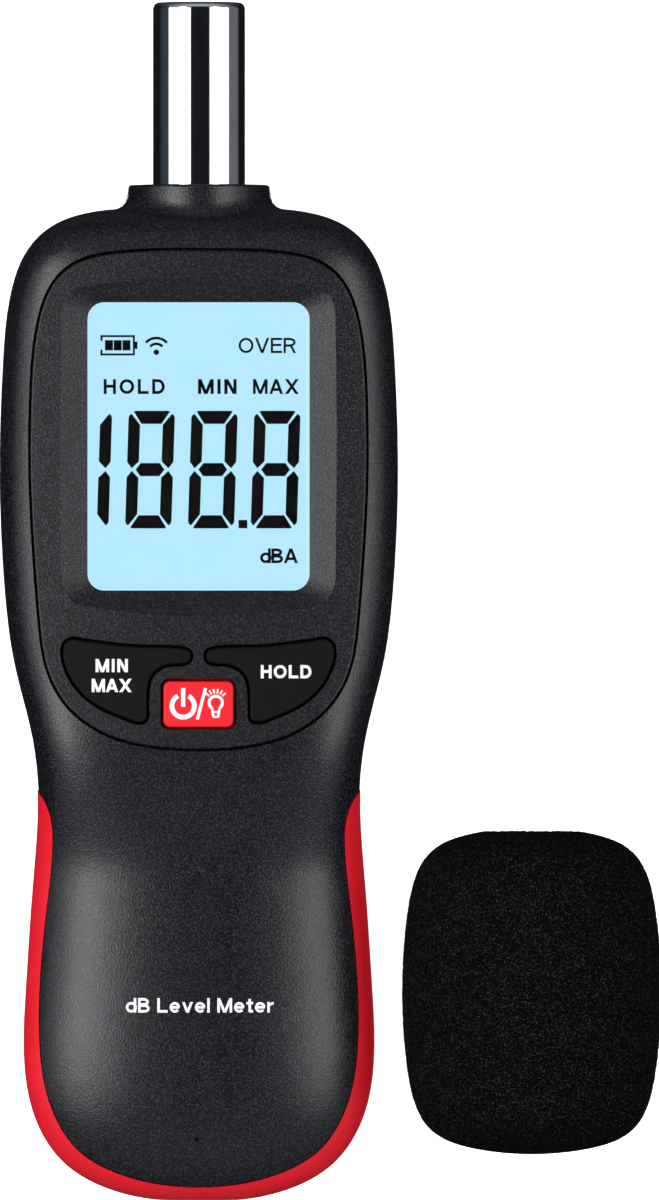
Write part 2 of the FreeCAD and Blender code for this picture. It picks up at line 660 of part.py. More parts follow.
def lcd_holder():
    """A frame that stands on the board and holds the glass, the guide and the rubber connector."""
    slack = GAP / 3
    y = (LCD_Y[0] - slack - HOLDER_WALL, LCD_Y[1] + slack + HOLDER_WALL)
    outer = slab(LCD_WIDTH / 2 + slack + HOLDER_WALL, y, (BOARD_Z[1], HOLDER_TOP_Z))
    glass_y = (LCD_Y[0] - slack, LCD_Y[1] + slack)
    seat = slab(LCD_WIDTH / 2 + slack, glass_y, (LCD_REAR_Z[0], 40))
    guide_y = (GUIDE_Y[0] - LED_SIZE[1] - GAP, GUIDE_Y[1] + slack)
    guide = slab(GUIDE_WIDTH / 2 + slack, guide_y, (0, 40))
    connector_y = (CONNECTOR_Y[0] - slack, CONNECTOR_Y[1] + slack)
    connector = slab(CONNECTOR_WIDTH / 2 + slack, connector_y, (0, 40))
    room = prism(panel_face(-LEDGE_WIDTH - GAP), 0, 40)
    return outer.cut(seat).cut(guide).cut(connector).common(room)


def rubber_connector():
    return slab(CONNECTOR_WIDTH / 2, CONNECTOR_Y, (BOARD_Z[1], LCD_FRONT_Z[0]))


def backlight_leds():
    """Two side-firing lights at the guide's lower edge."""
    width, depth, height = LED_SIZE
    y = (GUIDE_Y[0] - depth, GUIDE_Y[0])
    z = (BOARD_Z[1], BOARD_Z[1] + height)
    places = (-LED_SPREAD, LED_SPREAD)
    return Part.makeCompound([box((x - width / 2, x + width / 2), y, z) for x in places])


# --- Circuit board ------------------------------------------------------------------------------------
def main_board(form):
    board = grown(form, HEAD_HEIGHT, -WALL - BOARD_INSET).common(slab(BEYOND, BOARD_Y, BOARD_Z))
    for x, y in both_sides(CASE_SCREWS):
        board = board.cut(z_cylinder(FRONT_BOSS_RADIUS + 2 * GAP, (0, 40), x, y))
    for x, y in both_sides(BOARD_SCREWS):
        board = board.cut(z_cylinder(BOARD_SCREW_RADIUS + GAP, (0, 40), x, y))
    return board


def chip(centre, size):
    """A packaged chip under the board."""
    x = (centre[0] - size[0] / 2, centre[0] + size[0] / 2)
    y = (centre[1] - size[1] / 2, centre[1] + size[1] / 2)
    return box(x, y, (BOARD_Z[0] - CHIP_THICKNESS, BOARD_Z[0]))


def legged_chip(centre, size):
    """A chip with a row of legs down two sides."""
    shapes = [chip(centre, size)]
    count = int(size[1] / LEG_PITCH) - 1
    for side in (-1, 1):
        for i in range(count):
            y = centre[1] + (i - (count - 1) / 2) * LEG_PITCH
            x = sorted((centre[0] + side * size[0] / 2, centre[0] + side * (size[0] / 2 + 0.9)))
            shapes.append(box(x, (y - 0.2, y + 0.2), (BOARD_Z[0] - 0.5, BOARD_Z[0])))
    return fused(shapes)


def small_parts():
    """Rows of small capacitors and resistors under the board."""
    parts = []
    for row, y in enumerate((4.0, 8.5, 38.0, 44.0)):
        for i in range(7):
            x = -15.8 + 2.9 * i + 0.6 * (row % 2)
            thickness = 0.6 + 0.3 * ((i + row) % 2)
            parts.append(box((x, x + 1.6), (y, y + 0.9), (BOARD_Z[0] - thickness, BOARD_Z[0])))
    return Part.makeCompound(parts)


def trimmer():
    """The calibration trimmer under the board, with a slotted rotor."""
    body = chip((14.0, 6.0), (6.0, 6.0))
    bottom = BOARD_Z[0] - CHIP_THICKNESS
    rotor = z_cylinder(1.8, (bottom - 0.5, bottom), 14.0, 6.0)
    slot = box((12.0, 16.0), (5.7, 6.3), (bottom - 0.6, bottom - 0.2))
    return body.fuse(rotor).cut(slot)


# --- Fasteners ----------------------------------------------------------------------------------------
def pan_screw(x, y, head, seat_z, radius, tip_z):
    """A screw driven upward, with a cross slot in its head."""
    body = z_cylinder(head[0], (seat_z - head[1], seat_z), x, y)
    body = body.fuse(z_cylinder(radius, (seat_z, tip_z), x, y))
    width, length, depth = CROSS_SLOT
    z = (seat_z - head[1] - 1, seat_z - head[1] * (1 - depth / 1.5))
    reach = length / 2 * head[0] / SCREW_HEAD[0]
    body = body.cut(box((x - reach, x + reach), (y - width / 2, y + width / 2), z))
    return body.cut(box((x - width / 2, x + width / 2), (y - reach, y + reach), z))


def case_screws():
    screws = [
        pan_screw(x, y, SCREW_HEAD, SCREW_SEAT_Z, SCREW_RADIUS, SCREW_TIP_Z)
        for x, y in both_sides(CASE_SCREWS)
    ]
    return Part.makeCompound(screws)


def board_screws():
    tip = LEDGE_Z - 1.0
    radius = BOARD_SCREW_RADIUS - 0.05
    screws = [
        pan_screw(x, y, BOARD_SCREW_HEAD, BOARD_Z[0], radius, tip) for x, y in both_sides(BOARD_SCREWS)
    ]
    return Part.makeCompound(screws)


def tripod_insert():
    """A brass insert with a blind threaded bore and a grooved outside."""
    insert = z_cylinder(TRIPOD_INSERT_RADIUS, TRIPOD_INSERT_Z, 0, TRIPOD_Y)
    low = TRIPOD_INSERT_Z[0]
    bore = z_cylinder(TRIPOD_BORE_RADIUS, (low - 1, low + TRIPOD_BORE_DEPTH), 0, TRIPOD_Y)
    groove = z_cylinder(TRIPOD_INSERT_RADIUS + 1, (low + 3.6, low + 4.4), 0, TRIPOD_Y)
    core = z_cylinder(TRIPOD_INSERT_RADIUS - 0.4, (low + 3.6, low + 4.4), 0, TRIPOD_Y)
    return insert.cut(bore).cut(groove.cut(core))


# --- Microphone ---------------------------------------------------------------------------------------
def microphone_barrel():
    """A chromed tube on a narrower shank, with a rounded edge and a narrower opening at its end."""
    outer = y_cylinder(BARREL_RADIUS, (BARREL_SHOULDER_Y, BARREL_Y[1]))
    edge = [e for e in outer.Edges if e.BoundBox.YMin > BARREL_Y[1] - 0.1]
    outer = outer.makeFillet(BARREL_EDGE_ROUND, edge)
    outer = outer.fuse(y_cylinder(BARREL_SHANK_RADIUS, (BARREL_Y[0], BARREL_SHOULDER_Y)))
    bore = y_cylinder(BARREL_RADIUS - BARREL_WALL, (BARREL_Y[0] - 1, BARREL_Y[1] - BARREL_RIM))
    return outer.cut(bore).cut(y_cylinder(BARREL_OPENING_RADIUS, (BARREL_Y[0], BARREL_Y[1] + 1)))


def ring(outer, inner, y):
    """A ring round the microphone's axis."""
    return y_cylinder(outer, y).cut(y_cylinder(inner, (y[0] - 1, y[1] + 1)))


def microphone_bush():
    """The soft ring that grips the barrel between the two shells."""
    return ring(BUSH_RADIUS - 0.05, BARREL_SHANK_RADIUS + 0.02, (BUSH_Y[0] + 0.05, BUSH_Y[1] - 0.05))


def grille_places():
    """(x, z) of the grille's holes, in rows set like a honeycomb."""
    rows = int(GRILLE_FIELD_RADIUS / (GRILLE_PITCH * 0.866)) + 1
    columns = int(GRILLE_FIELD_RADIUS / GRILLE_PITCH) + 1
    places = []
    for row in range(-rows, rows + 1):
        for column in range(-columns, columns + 1):
            x = (column + 0.5 * (row % 2)) * GRILLE_PITCH
            z = row * GRILLE_PITCH * 0.866
            if math.hypot(x, z) < GRILLE_FIELD_RADIUS:
                places.append((x, z))
    return places


def microphone_grille():
    radius = BARREL_RADIUS - BARREL_WALL - 0.05
    top = BARREL_Y[1] - BARREL_RIM
    disk = y_cylinder(radius, (top - GRILLE_THICKNESS, top))
    holes = [
        y_cylinder(GRILLE_HOLE_RADIUS, (top - 1, top + 1), x, PARTING_Z + z) for x, z in grille_places()
    ]
    return disk.cut(Part.makeCompound(holes))


def dust_felt():
    top = BARREL_Y[1] - BARREL_RIM - GRILLE_THICKNESS
    return y_cylinder(BARREL_RADIUS - BARREL_WALL - 0.05, (top - FELT_THICKNESS, top))


def microphone_leads():
    mirror = [(-x, y, z) for x, y, z in MICROPHONE_LEAD]
    return Part.makeCompound([tube(r, MICROPHONE_LEAD_DIAMETER) for r in (MICROPHONE_LEAD, mirror)])


# --- Battery parts ------------------------------------------------------------------------------------
def cell_layout():
    """(x, direction of the positive end) of each cell."""
    return [(-CELL_PITCH, 1), (0.0, -1), (CELL_PITCH, 1)]


def positive_tip(direction):
    """Where a cell's positive end touches its contact."""
    wall = BAY_Y[1] if direction > 0 else BAY_Y[0]
    return wall - direction * (CONTACT_THICKNESS + CONTACT_DIMPLE)


def battery_cells():
    cells = []
    for x, direction in cell_layout():
        tip = positive_tip(direction)
        shoulder = tip - direction * CELL_NUB[1]
        body = sorted((shoulder, shoulder - direction * CELL_BODY))
        can = y_cylinder(CELL_RADIUS, body, x, CELL_AXIS_Z)
        can = can.makeFillet(0.4, [e for e in can.Edges if e.BoundBox.YLength < 0.01])
        nub = y_cylinder(CELL_NUB[0], sorted((tip, shoulder)), x, CELL_AXIS_Z)
        cells.append(can.fuse(nub))
    return Part.makeCompound(cells)


def contact_plate(x_low, x_high, end):
    """A plate against the bay's end wall: end 1 is the head side, -1 the tail side."""
    wall = BAY_Y[1] if end > 0 else BAY_Y[0]
    y = sorted((wall, wall - end * CONTACT_THICKNESS))
    z = (CELL_AXIS_Z - CONTACT_SIZE[1] / 2, CELL_AXIS_Z + CONTACT_SIZE[1] / 2)
    return box((x_low - CONTACT_SIZE[0] / 2, x_high + CONTACT_SIZE[0] / 2), y, z)


def contact_dimple(x, end):
    """The raised spot that a cell's positive end touches."""
    wall = (BAY_Y[1] if end > 0 else BAY_Y[0]) - end * CONTACT_THICKNESS
    return y_cylinder(1.5, sorted((wall, wall - end * CONTACT_DIMPLE)), x, CELL_AXIS_Z)


def strip_x():
    """The return strip runs in the gap between two cells."""
    return (CELL_PITCH / 2 - STRIP_SIZE[0] / 2, CELL_PITCH / 2 + STRIP_SIZE[0] / 2)


def strip_z():
    return (BAY_CEILING_Z - STRIP_SIZE[1], BAY_CEILING_Z)


def tab_box(x, z, slack=0.0):
    """A solder tab through the bay's head wall, or its slot where slack is given."""
    y = (BAY_Y[1] - CONTACT_THICKNESS, BAY_Y[1] + TAB_LENGTH)
    return box((x - TAB_WIDTH / 2 - slack, x + TAB_WIDTH / 2 + slack), y, (z[0] - slack, z[1] + slack))


def tab_places():
    plate_tab = (TAB_Z - CONTACT_THICKNESS / 2, TAB_Z + CONTACT_THICKNESS / 2)
    return [(-CELL_PITCH, plate_tab), (CELL_PITCH / 2, strip_z())]


def contact_tabs():
    return [tab_box(x, z, GAP) for x, z in tab_places()]


def battery_contacts():
    positive = contact_plate(-CELL_PITCH, -CELL_PITCH, 1).fuse(contact_dimple(-CELL_PITCH, 1))
    positive = positive.fuse(tab_box(*tab_places()[0]))
    head_bridge = contact_plate(0, CELL_PITCH, 1).fuse(contact_dimple(CELL_PITCH, 1))
    tail_bridge = contact_plate(-CELL_PITCH, 0, -1).fuse(contact_dimple(0, -1))
    riser = box(strip_x(), (BAY_Y[0], BAY_Y[0] + CONTACT_THICKNESS), (CELL_AXIS_Z, strip_z()[1]))
    negative = contact_plate(CELL_PITCH, CELL_PITCH, -1)
    negative = negative.fuse([riser, box(strip_x(), BAY_Y, strip_z()), tab_box(*tab_places()[1])])
    return Part.makeCompound([s.removeSplitter() for s in (positive, head_bridge, tail_bridge, negative)])


def wire_spring(height):
    """A wire coil of the given height that stands on z 0."""
    count = SPRING_TURNS * SPRING_STEPS
    points = []
    for i in range(count + 1):
        angle = 2 * math.pi * i / SPRING_STEPS
        rise = height * i / count
        points.append(V(SPRING_RADIUS * math.cos(angle), SPRING_RADIUS * math.sin(angle), rise))
    coil = Part.BSplineCurve()
    coil.interpolate(points)
    circle = Part.makeCircle(SPRING_WIRE / 2, points[0], V(*coil.tangent(coil.FirstParameter)[0]))
    return Part.Wire(coil.toShape()).makePipeShell([Part.Wire(circle)], True, True)


def battery_springs():
    """A wire spring at each cell's negative end."""
    springs = []
    for x, direction in cell_layout():
        cell_end = positive_tip(direction) - direction * (CELL_NUB[1] + CELL_BODY)
        wall = (BAY_Y[0] if direction > 0 else BAY_Y[1]) + direction * CONTACT_THICKNESS
        height = abs(cell_end - wall) - SPRING_WIRE - 0.1
        spring = wire_spring(height)
        spring.rotate(V(0, 0, 0), V(1, 0, 0), -90 * direction)
        spring.translate(V(x, wall + direction * (SPRING_WIRE / 2 + 0.05), CELL_AXIS_Z))
        springs.append(spring)
    return Part.makeCompound(springs)


def battery_cover(form):
    half = COVER_HALF_WIDTH
    plate = slab(half, COVER_Y, COVER_Z).fuse(slab(half + COVER_TONGUE, COVER_Y, COVER_TONGUE_Z))
    cover = plate.common(form)
    width, length, depth = COVER_RIB_SIZE
    for i in range(COVER_RIBS):
        y = COVER_RIB_Y + i * COVER_RIB_PITCH
        cover = cover.cut(slab(width / 2, (y, y + length), (-1, COVER_Z[0] + depth)))
    return cover


# --- Windscreen ---------------------------------------------------------------------------------------
def windscreen():
    """A foam body of revolution with a blind bore for the microphone."""
    profile = []
    for i in range(SCREEN_POINTS + 1):
        angle = math.pi / 2 - math.pi * i / SCREEN_POINTS
        r = SCREEN_RADIUS * math.cos(angle) ** (2 / SCREEN_POWER) if 0 < i < SCREEN_POINTS else 0.0
        y = SCREEN_HALF_LENGTH * math.copysign(abs(math.sin(angle)) ** (2 / SCREEN_POWER), math.sin(angle))
        profile.append(V(r, y, 0))
    curve = Part.BSplineCurve()
    curve.interpolate(profile)
    face = Part.Face(Part.Wire([curve.toShape(), Part.makeLine(profile[-1], profile[0])]))
    body = face.revolve(V(0, 0, 0), ALONG, 360)
    end = SCREEN_HALF_LENGTH
    body = body.cut(y_cylinder(SCREEN_BORE_RADIUS, (end - SCREEN_BORE_LENGTH, end + 1), 0, 0))
    body.translate(V(SCREEN_CENTRE[0], SCREEN_CENTRE[1], SCREEN_RADIUS))
    return body


# --- Whole object -------------------------------------------------------------------------------------
def build():
    """Every piece by node name."""
    front, back = half_form(front_section, 1), half_form(back_section, -1)
    region = band_region()
    pieces = {
        "front_shell": front_shell(front, region),
        "rear_shell": rear_shell(back, region),
        "front_grip_band": grip_band(front, HEAD_HEIGHT, region),
        "rear_grip_band": grip_band(back, BACK_DEPTH, region),
        "front_panel": front_panel(),
        "display_window": display_window(),
        "window_tape": window_tape(),
        "lcd_front_glass": lcd_front_glass(),
        "lcd_rear_glass": lcd_rear_glass(),
        "lcd_holder": lcd_holder(),
        "backlight_guide": backlight_guide(),
        "backlight_leds": backlight_leds(),
        "rubber_connector": rubber_connector(),
        "keypad_mat": keypad_mat(),
        "main_board": main_board(front),
        "processor_chip": legged_chip((0.0, 25.0), PROCESSOR_SIZE),
        "amplifier_chip": legged_chip((-2.0, 13.5), AMPLIFIER_SIZE),
        "radio_module": chip((11.0, 44.0), RADIO_SIZE),
        "small_board_parts": small_parts(),
        "calibration_trimmer": trimmer(),
        "board_screws": board_screws(),
        "case_screws": case_screws(),
        "tripod_insert": tripod_insert(),
        "microphone_barrel": microphone_barrel(),
        "microphone_bush": microphone_bush(),
        "microphone_capsule": y_cylinder(CAPSULE_RADIUS - 0.02, CAPSULE_Y),
        "capsule_holder": ring(BARREL_RADIUS - BARREL_WALL - 0.05, CAPSULE_RADIUS, CAPSULE_HOLDER_Y),
        "microphone_grille": microphone_grille(),
        "dust_felt": dust_felt(),
        "microphone_leads": microphone_leads(),
        "battery_cells": battery_cells(),
        "battery_contacts": battery_contacts(),
        "battery_springs": battery_springs(),
        "battery_lead_red": tube(RED_LEAD, BATTERY_LEAD_DIAMETER),
        "battery_lead_black": tube(BLACK_LEAD, BATTERY_LEAD_DIAMETER),
        "battery_cover": battery_cover(back),
        "windscreen": windscreen(),
    }
    for name, (x, y) in DOME_CENTRES.items():
        pieces["button_" + name] = key_button(name)
        pieces["dome_" + name] = dome(x, y)
        pieces["pill_" + name] = pill(x, y)
    return pieces


os.makedirs("parts", exist_ok=True)
for name, shape in build().items():
    shape.exportStep("parts/" + name + ".step")
    print(name, len(shape.Solids), "solids", round(shape.Volume, 1), "mm3")
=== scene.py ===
"""Looks for the handheld sound level meter: materials, display segments, legends, foam and studio."""

import json
import math

import bpy
import numpy as np
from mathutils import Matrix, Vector
from mathutils.bvhtree import BVHTree
from mathutils.kdtree import KDTree


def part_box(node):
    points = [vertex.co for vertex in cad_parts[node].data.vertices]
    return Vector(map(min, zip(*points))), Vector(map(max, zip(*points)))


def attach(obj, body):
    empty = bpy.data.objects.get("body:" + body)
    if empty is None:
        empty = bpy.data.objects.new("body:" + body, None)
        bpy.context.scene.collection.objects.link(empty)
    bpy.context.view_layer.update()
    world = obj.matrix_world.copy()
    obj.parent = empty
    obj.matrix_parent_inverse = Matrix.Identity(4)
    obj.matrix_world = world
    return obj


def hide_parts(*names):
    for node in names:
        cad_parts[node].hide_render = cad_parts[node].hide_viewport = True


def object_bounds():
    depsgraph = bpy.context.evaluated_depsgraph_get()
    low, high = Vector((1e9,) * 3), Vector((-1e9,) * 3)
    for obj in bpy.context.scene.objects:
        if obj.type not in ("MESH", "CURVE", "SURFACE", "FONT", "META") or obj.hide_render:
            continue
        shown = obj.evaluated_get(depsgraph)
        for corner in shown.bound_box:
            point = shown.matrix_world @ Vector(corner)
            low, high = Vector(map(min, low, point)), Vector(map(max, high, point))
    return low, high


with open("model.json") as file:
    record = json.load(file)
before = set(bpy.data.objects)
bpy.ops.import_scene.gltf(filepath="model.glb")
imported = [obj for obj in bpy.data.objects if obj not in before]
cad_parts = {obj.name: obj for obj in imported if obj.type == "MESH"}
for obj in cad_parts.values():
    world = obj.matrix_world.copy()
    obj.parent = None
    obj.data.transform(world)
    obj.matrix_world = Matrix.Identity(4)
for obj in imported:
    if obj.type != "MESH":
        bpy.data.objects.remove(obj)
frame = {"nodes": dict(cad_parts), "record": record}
nodes = frame["nodes"]
cad_low, cad_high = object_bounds()

MM = 0.001

# --- Places read from the frame -----------------------------------------------------------------------
glass_low, glass_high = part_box("lcd_front_glass")
window_low, window_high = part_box("display_window")
foam_low, foam_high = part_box("windscreen")


# --- Material helpers ---------------------------------------------------------------------------------
def srgb(red, green, blue):
    """Linear colour with alpha from display values between 0 and 255."""
    def linear(value):
        share = value / 255
        return share / 12.92 if share <= 0.04045 else ((share + 0.055) / 1.055) ** 2.4
    return (linear(red), linear(green), linear(blue), 1.0)


class Graph:
    """The shader nodes of a material, a light or the world."""

    def __init__(self, tree):
        self.tree = tree

    def node(self, kind, **values):
        """A new node; values are inputs by name, with spaces as underscores."""
        made = self.tree.nodes.new("ShaderNode" + kind)
        for key, value in values.items():
            made.inputs[key.replace("_", " ")].default_value = value
        return made

    def link(self, output, target):
        self.tree.links.new(output, target)

    def split(self, vector):
        """The X, Y and Z of a vector, by name."""
        made = self.node("SeparateXYZ")
        self.link(vector, made.inputs["Vector"])
        return made.outputs

    def math(self, operation, first, second=None):
        """A calculation on an output and, where given, a second output."""
        made = self.node("Math")
        made.operation = operation
        self.link(first, made.inputs[0])
        if second is not None:
            self.link(second, made.inputs[1])
        return made.outputs[0]

    def mapped(self, value, smooth=False, **limits):
        """A value taken from one range to another, both 0 to 1 unless a limit is given."""
        made = self.node("MapRange", **limits)
        if smooth:
            made.interpolation_type = "SMOOTHSTEP"
        self.link(value, made.inputs["Value"])
        return made.outputs["Result"]

    def ramp(self, value, stops):
        """Colours at positions along a 0 to 1 value."""
        made = self.node("ValToRGB")
        elements = made.color_ramp.elements
        while len(elements) < len(stops):
            elements.new(0.5)
        for element, (position, colour) in zip(elements, stops):
            element.position = position
            element.color = colour
        self.link(value, made.inputs["Fac"])
        return made.outputs["Color"]


class Surface(Graph):
    """A Principled material that is built up node by node."""

    def __init__(self, name, roughness=0.5, **sockets):
        self.material = bpy.data.materials.new(name)
        self.material.use_nodes = True
        super().__init__(self.material.node_tree)
        self.shader = self.tree.nodes["Principled BSDF"]
        self.shader.inputs["Roughness"].default_value = roughness
        for socket, value in sockets.items():
            self.shader.inputs[socket.replace("_", " ")].default_value = value
        self.place = self.node("TexCoord").outputs["Object"]

    def noise(self, size, detail=3.0, stretch=(1, 1, 1)):
        """Noise whose grains are about size metres across."""
        scaled = self.node("Mapping")
        scaled.inputs["Scale"].default_value = stretch
        self.link(self.place, scaled.inputs["Vector"])
        made = self.node("TexNoise", Scale=1 / size, Detail=detail, Roughness=0.55)
        self.link(scaled.outputs["Vector"], made.inputs["Vector"])
        return made.outputs["Fac"]

    def cells(self, size):
        """Voronoi distance with cells about size metres across."""
        made = self.node("TexVoronoi", Scale=1 / size)
        self.link(self.place, made.inputs["Vector"])
        return made.outputs["Distance"]

    def colour(self, value, dark, light, spread=(0.3, 0.7)):
        """Shades from dark to light while the value runs over the spread."""
        shade = self.ramp(value, list(zip(spread, (dark, light))))
        self.link(shade, self.shader.inputs["Base Color"])

    def roughness(self, value, low, high):
        self.link(self.mapped(value, To_Min=low, To_Max=high), self.shader.inputs["Roughness"])

    def bump(self, value, depth):
        """Raises the surface by up to that depth in metres."""
        made = self.node("Bump", Strength=1.0, Distance=depth)
        self.link(value, made.inputs["Height"])
        self.link(made.outputs["Normal"], self.shader.inputs["Normal"])


def grained(made, roughness, grain, depth):
    """Gives a surface uneven gloss and the fine bumps of a spark-eroded mould."""
    made.roughness(made.noise(2.5 * MM, 4), roughness - 0.04, roughness + 0.05)
    made.bump(made.noise(grain, 2), depth)
    return made.material


def moulded(name, dark, light, roughness, grain=0.25 * MM, depth=0.012 * MM, specular=0.5):
    """Moulded plastic or rubber with patches of slightly different shade."""
    made = Surface(name, Specular_IOR_Level=specular)
    made.colour(made.noise(6 * MM, 4), dark, light)
    return grained(made, roughness, grain, depth)


def speckled(name, painted_glint_colour, roughness, specular):
    """Black plastic with a coarse grain, speckled with painted glints of light on the grain's tips."""
    grain, depth = 0.25 * MM, 0.05 * MM
    made = Surface(name, Specular_IOR_Level=specular)
    # The light specks are painted highlights: the glints that the grain's tips catch.
    made.colour(made.noise(grain, 1), srgb(2, 2, 4), painted_glint_colour, (0.48, 0.72))
    return grained(made, roughness, grain, depth)


def metal(name, dark, light, roughness, stretch=(1, 1, 1), depth=0.002 * MM):
    """Metal with streaks, which are longer along an axis whose stretch is smaller."""
    made = Surface(name, Metallic=1.0)
    streaks = made.noise(0.8 * MM, 4, stretch)
    made.colour(streaks, dark, light)
    made.roughness(streaks, roughness * 0.8, roughness * 1.3)
    made.bump(streaks, depth)
    return made.material


def clear(name, tint, roughness):
    """Glass or clear acrylic with faint waves."""
    made = Surface(name, Transmission_Weight=1.0, IOR=1.46)
    made.colour(made.noise(8 * MM), tint, (1, 1, 1, 1))
    made.roughness(made.noise(3 * MM), roughness, roughness + 0.02)
    made.bump(made.noise(5 * MM), 0.0008 * MM)
    return made.material


def backlit_display():
    """Light blue from edge to edge, and paler beside the window's right side as a painted reflection."""
    made = Surface("lcd_backlit", 0.6, Specular_IOR_Level=0.1, Emission_Strength=1.08)
    x = made.split(made.place)["X"]
    across = made.mapped(x, From_Min=window_low.x, From_Max=window_high.x)
    blue, pale = srgb(183, 233, 252), srgb(218, 244, 253)
    # The pale end of this ramp is a painted reflection: the glare of a light in the window.
    glow = made.ramp(across, [(0.0, blue), (0.93, blue), (0.99, pale)])
    made.link(glow, made.shader.inputs["Emission Color"])
    made.colour(made.noise(4 * MM), srgb(12, 22, 26), srgb(16, 28, 32))
    made.bump(made.noise(0.3 * MM), 0.001 * MM)
    return made.material


def solder_mask():
    """Green solder mask over faint copper tracks."""
    made = Surface("solder_mask", 0.35)
    tracks = made.cells(2.2 * MM)
    made.colour(tracks, srgb(10, 66, 36), srgb(24, 100, 56), (0.45, 0.5))
    made.bump(tracks, 0.01 * MM)
    return made.material


def open_cell_foam():
    """Black foam with painted shade in its pores and painted glints on its strands here and there."""
    made = Surface("open_cell_foam", 0.9, Specular_IOR_Level=0.06)
    strand_relief_and_painted_light = made.noise(0.26 * MM, 1)
    # Dark pores are painted shade and light strands painted glints; the same noise also raises the
    # strands.
    made.colour(strand_relief_and_painted_light, srgb(2, 2, 3), srgb(54, 54, 56), (0.54, 0.8))
    made.bump(strand_relief_and_painted_light, 0.25 * MM)
    return made.material


materials = {
    # The last colour given to case_black and panel_grey is that of their painted glints.
    "case_black": speckled("case_black", srgb(44, 46, 51), 0.3, 0.42),
    "grip_red": moulded("grip_red", srgb(230, 20, 38), srgb(236, 24, 42), 0.42, depth=0.01 * MM),
    "panel_grey": speckled("panel_grey", srgb(48, 50, 55), 0.38, 0.34),
    "window_clear": clear("window_clear", (0.96, 0.99, 1, 1), 0.01),
    "lcd_glass": clear("lcd_glass", (0.85, 0.95, 0.97, 1), 0.04),
    "white_plastic": moulded("white_plastic", srgb(228, 229, 230), srgb(238, 238, 238), 0.4),
    "guide_acrylic": clear("guide_acrylic", (0.9, 0.97, 1, 1), 0.15),
    "led_white": moulded("led_white", srgb(244, 240, 214), srgb(252, 250, 235), 0.25),
    "key_black": moulded(
        "key_black", srgb(10, 10, 11), srgb(13, 13, 14), 0.62, 0.2 * MM, 0.014 * MM, 0.12
    ),
    "key_red": moulded(
        "key_red", srgb(228, 20, 32), srgb(234, 26, 38), 0.55, 0.2 * MM, 0.006 * MM, 0.3
    ),
    "silicone": moulded("silicone", srgb(96, 97, 100), srgb(112, 113, 116), 0.6),
    "carbon_pill": moulded("carbon_pill", srgb(14, 14, 15), srgb(26, 26, 28), 0.7),
    "tape_black": moulded("tape_black", srgb(12, 12, 13), srgb(18, 18, 20), 0.7),
    "circuit_board": solder_mask(),
    "chip_epoxy": moulded("chip_epoxy", srgb(24, 24, 26), srgb(36, 36, 38), 0.6),
    "shield_steel": metal("shield_steel", srgb(176, 176, 174), srgb(206, 206, 204), 0.3, (1, 12, 1)),
    "chip_ceramic": moulded("chip_ceramic", srgb(150, 126, 92), srgb(184, 160, 124), 0.5),
    "screw_steel": metal("screw_steel", srgb(90, 90, 92), srgb(130, 130, 132), 0.35),
    "contact_steel": metal("contact_steel", srgb(190, 188, 182), srgb(214, 212, 206), 0.28, (10, 1, 1)),
    "insert_brass": metal("insert_brass", srgb(176, 134, 62), srgb(206, 164, 88), 0.3),
    "barrel_chrome": metal(
        "barrel_chrome", srgb(228, 229, 232), srgb(240, 241, 243), 0.05, (1, 0.1, 1), 0.0002 * MM
    ),
    "capsule_metal": metal("capsule_metal", srgb(120, 121, 124), srgb(150, 151, 154), 0.35),
    "felt_black": moulded("felt_black", srgb(14, 14, 15), srgb(30, 30, 32), 0.95, 0.12 * MM, 0.05 * MM),
    "foam_black": open_cell_foam(),
    "cell_wrap": moulded("cell_wrap", srgb(30, 44, 52), srgb(40, 56, 66), 0.25),
    "lead_red": moulded("lead_red", srgb(176, 22, 26), srgb(200, 34, 36), 0.4),
    "lead_black": moulded("lead_black", srgb(18, 18, 20), srgb(30, 30, 32), 0.4),
}
ink_white = moulded("legend_white", srgb(238, 239, 241), srgb(248, 248, 249), 0.5, 0.15 * MM, 0.006 * MM)
ink_dark = moulded("segment_dark", srgb(16, 7, 8), srgb(22, 11, 12), 0.6, 0.2 * MM, 0.004 * MM, 0.1)
# The seam's dark colour is painted shade: the shadow in the gap between the case's halves.
painted_seam_shade = moulded("painted_seam_shade", srgb(5, 5, 6), srgb(9, 9, 10), 0.8)

for entry in frame["record"]["subparts"]:
    mesh = nodes[entry["node"]].data
    mesh.materials.clear()
    mesh.materials.append(materials[entry["material_slot"]])


# --- Flat shapes --------------------------------------------------------------------------------------
# An outline is a list of (x, y) points. Printed letters are this thick and lie this far over a surface,
# and each stroke of a piece is a step taller than the last.
PRINT_THICKNESS = 0.03 * MM
PRINT_LIFT = 0.01 * MM
PRINT_STEP = 0.002 * MM


def add_mesh(name, vertices, faces, material, smooth=False):
    """A new piece from its corners and faces."""
    mesh = bpy.data.meshes.new(name)
    mesh.from_pydata([tuple(v) for v in vertices], [], faces)
    mesh.materials.append(material)
    if smooth:
        mesh.shade_smooth()
    else:
        mesh.shade_flat()
    mesh.update()
    piece = bpy.data.objects.new(name, mesh)
    bpy.context.scene.collection.objects.link(piece)
    return piece


def prisms(name, outlines, low, high, material):
    """One piece of upright prisms, each a hair taller than the last so that none share a top face."""
    vertices, faces = [], []
    for outline in outlines:
        start, count = len(vertices), len(outline)
        area = sum(a[0] * b[1] - b[0] * a[1] for a, b in zip(outline, outline[1:] + outline[:1]))
        ring = outline if area > 0 else outline[::-1]
        vertices += [(x, y, low) for x, y in ring] + [(x, y, high) for x, y in ring]
        faces.append([start + i for i in reversed(range(count))])
        faces.append([start + count + i for i in range(count)])
        for i in range(count):
            j = (i + 1) % count
            faces.append([start + i, start + j, start + count + j, start + count + i])
        high += PRINT_STEP
    return add_mesh(name, vertices, faces, material)


def box_outline(x_low, x_high, y_low, y_high):
    return [(x_low, y_low), (x_high, y_low), (x_high, y_high), (x_low, y_high)]


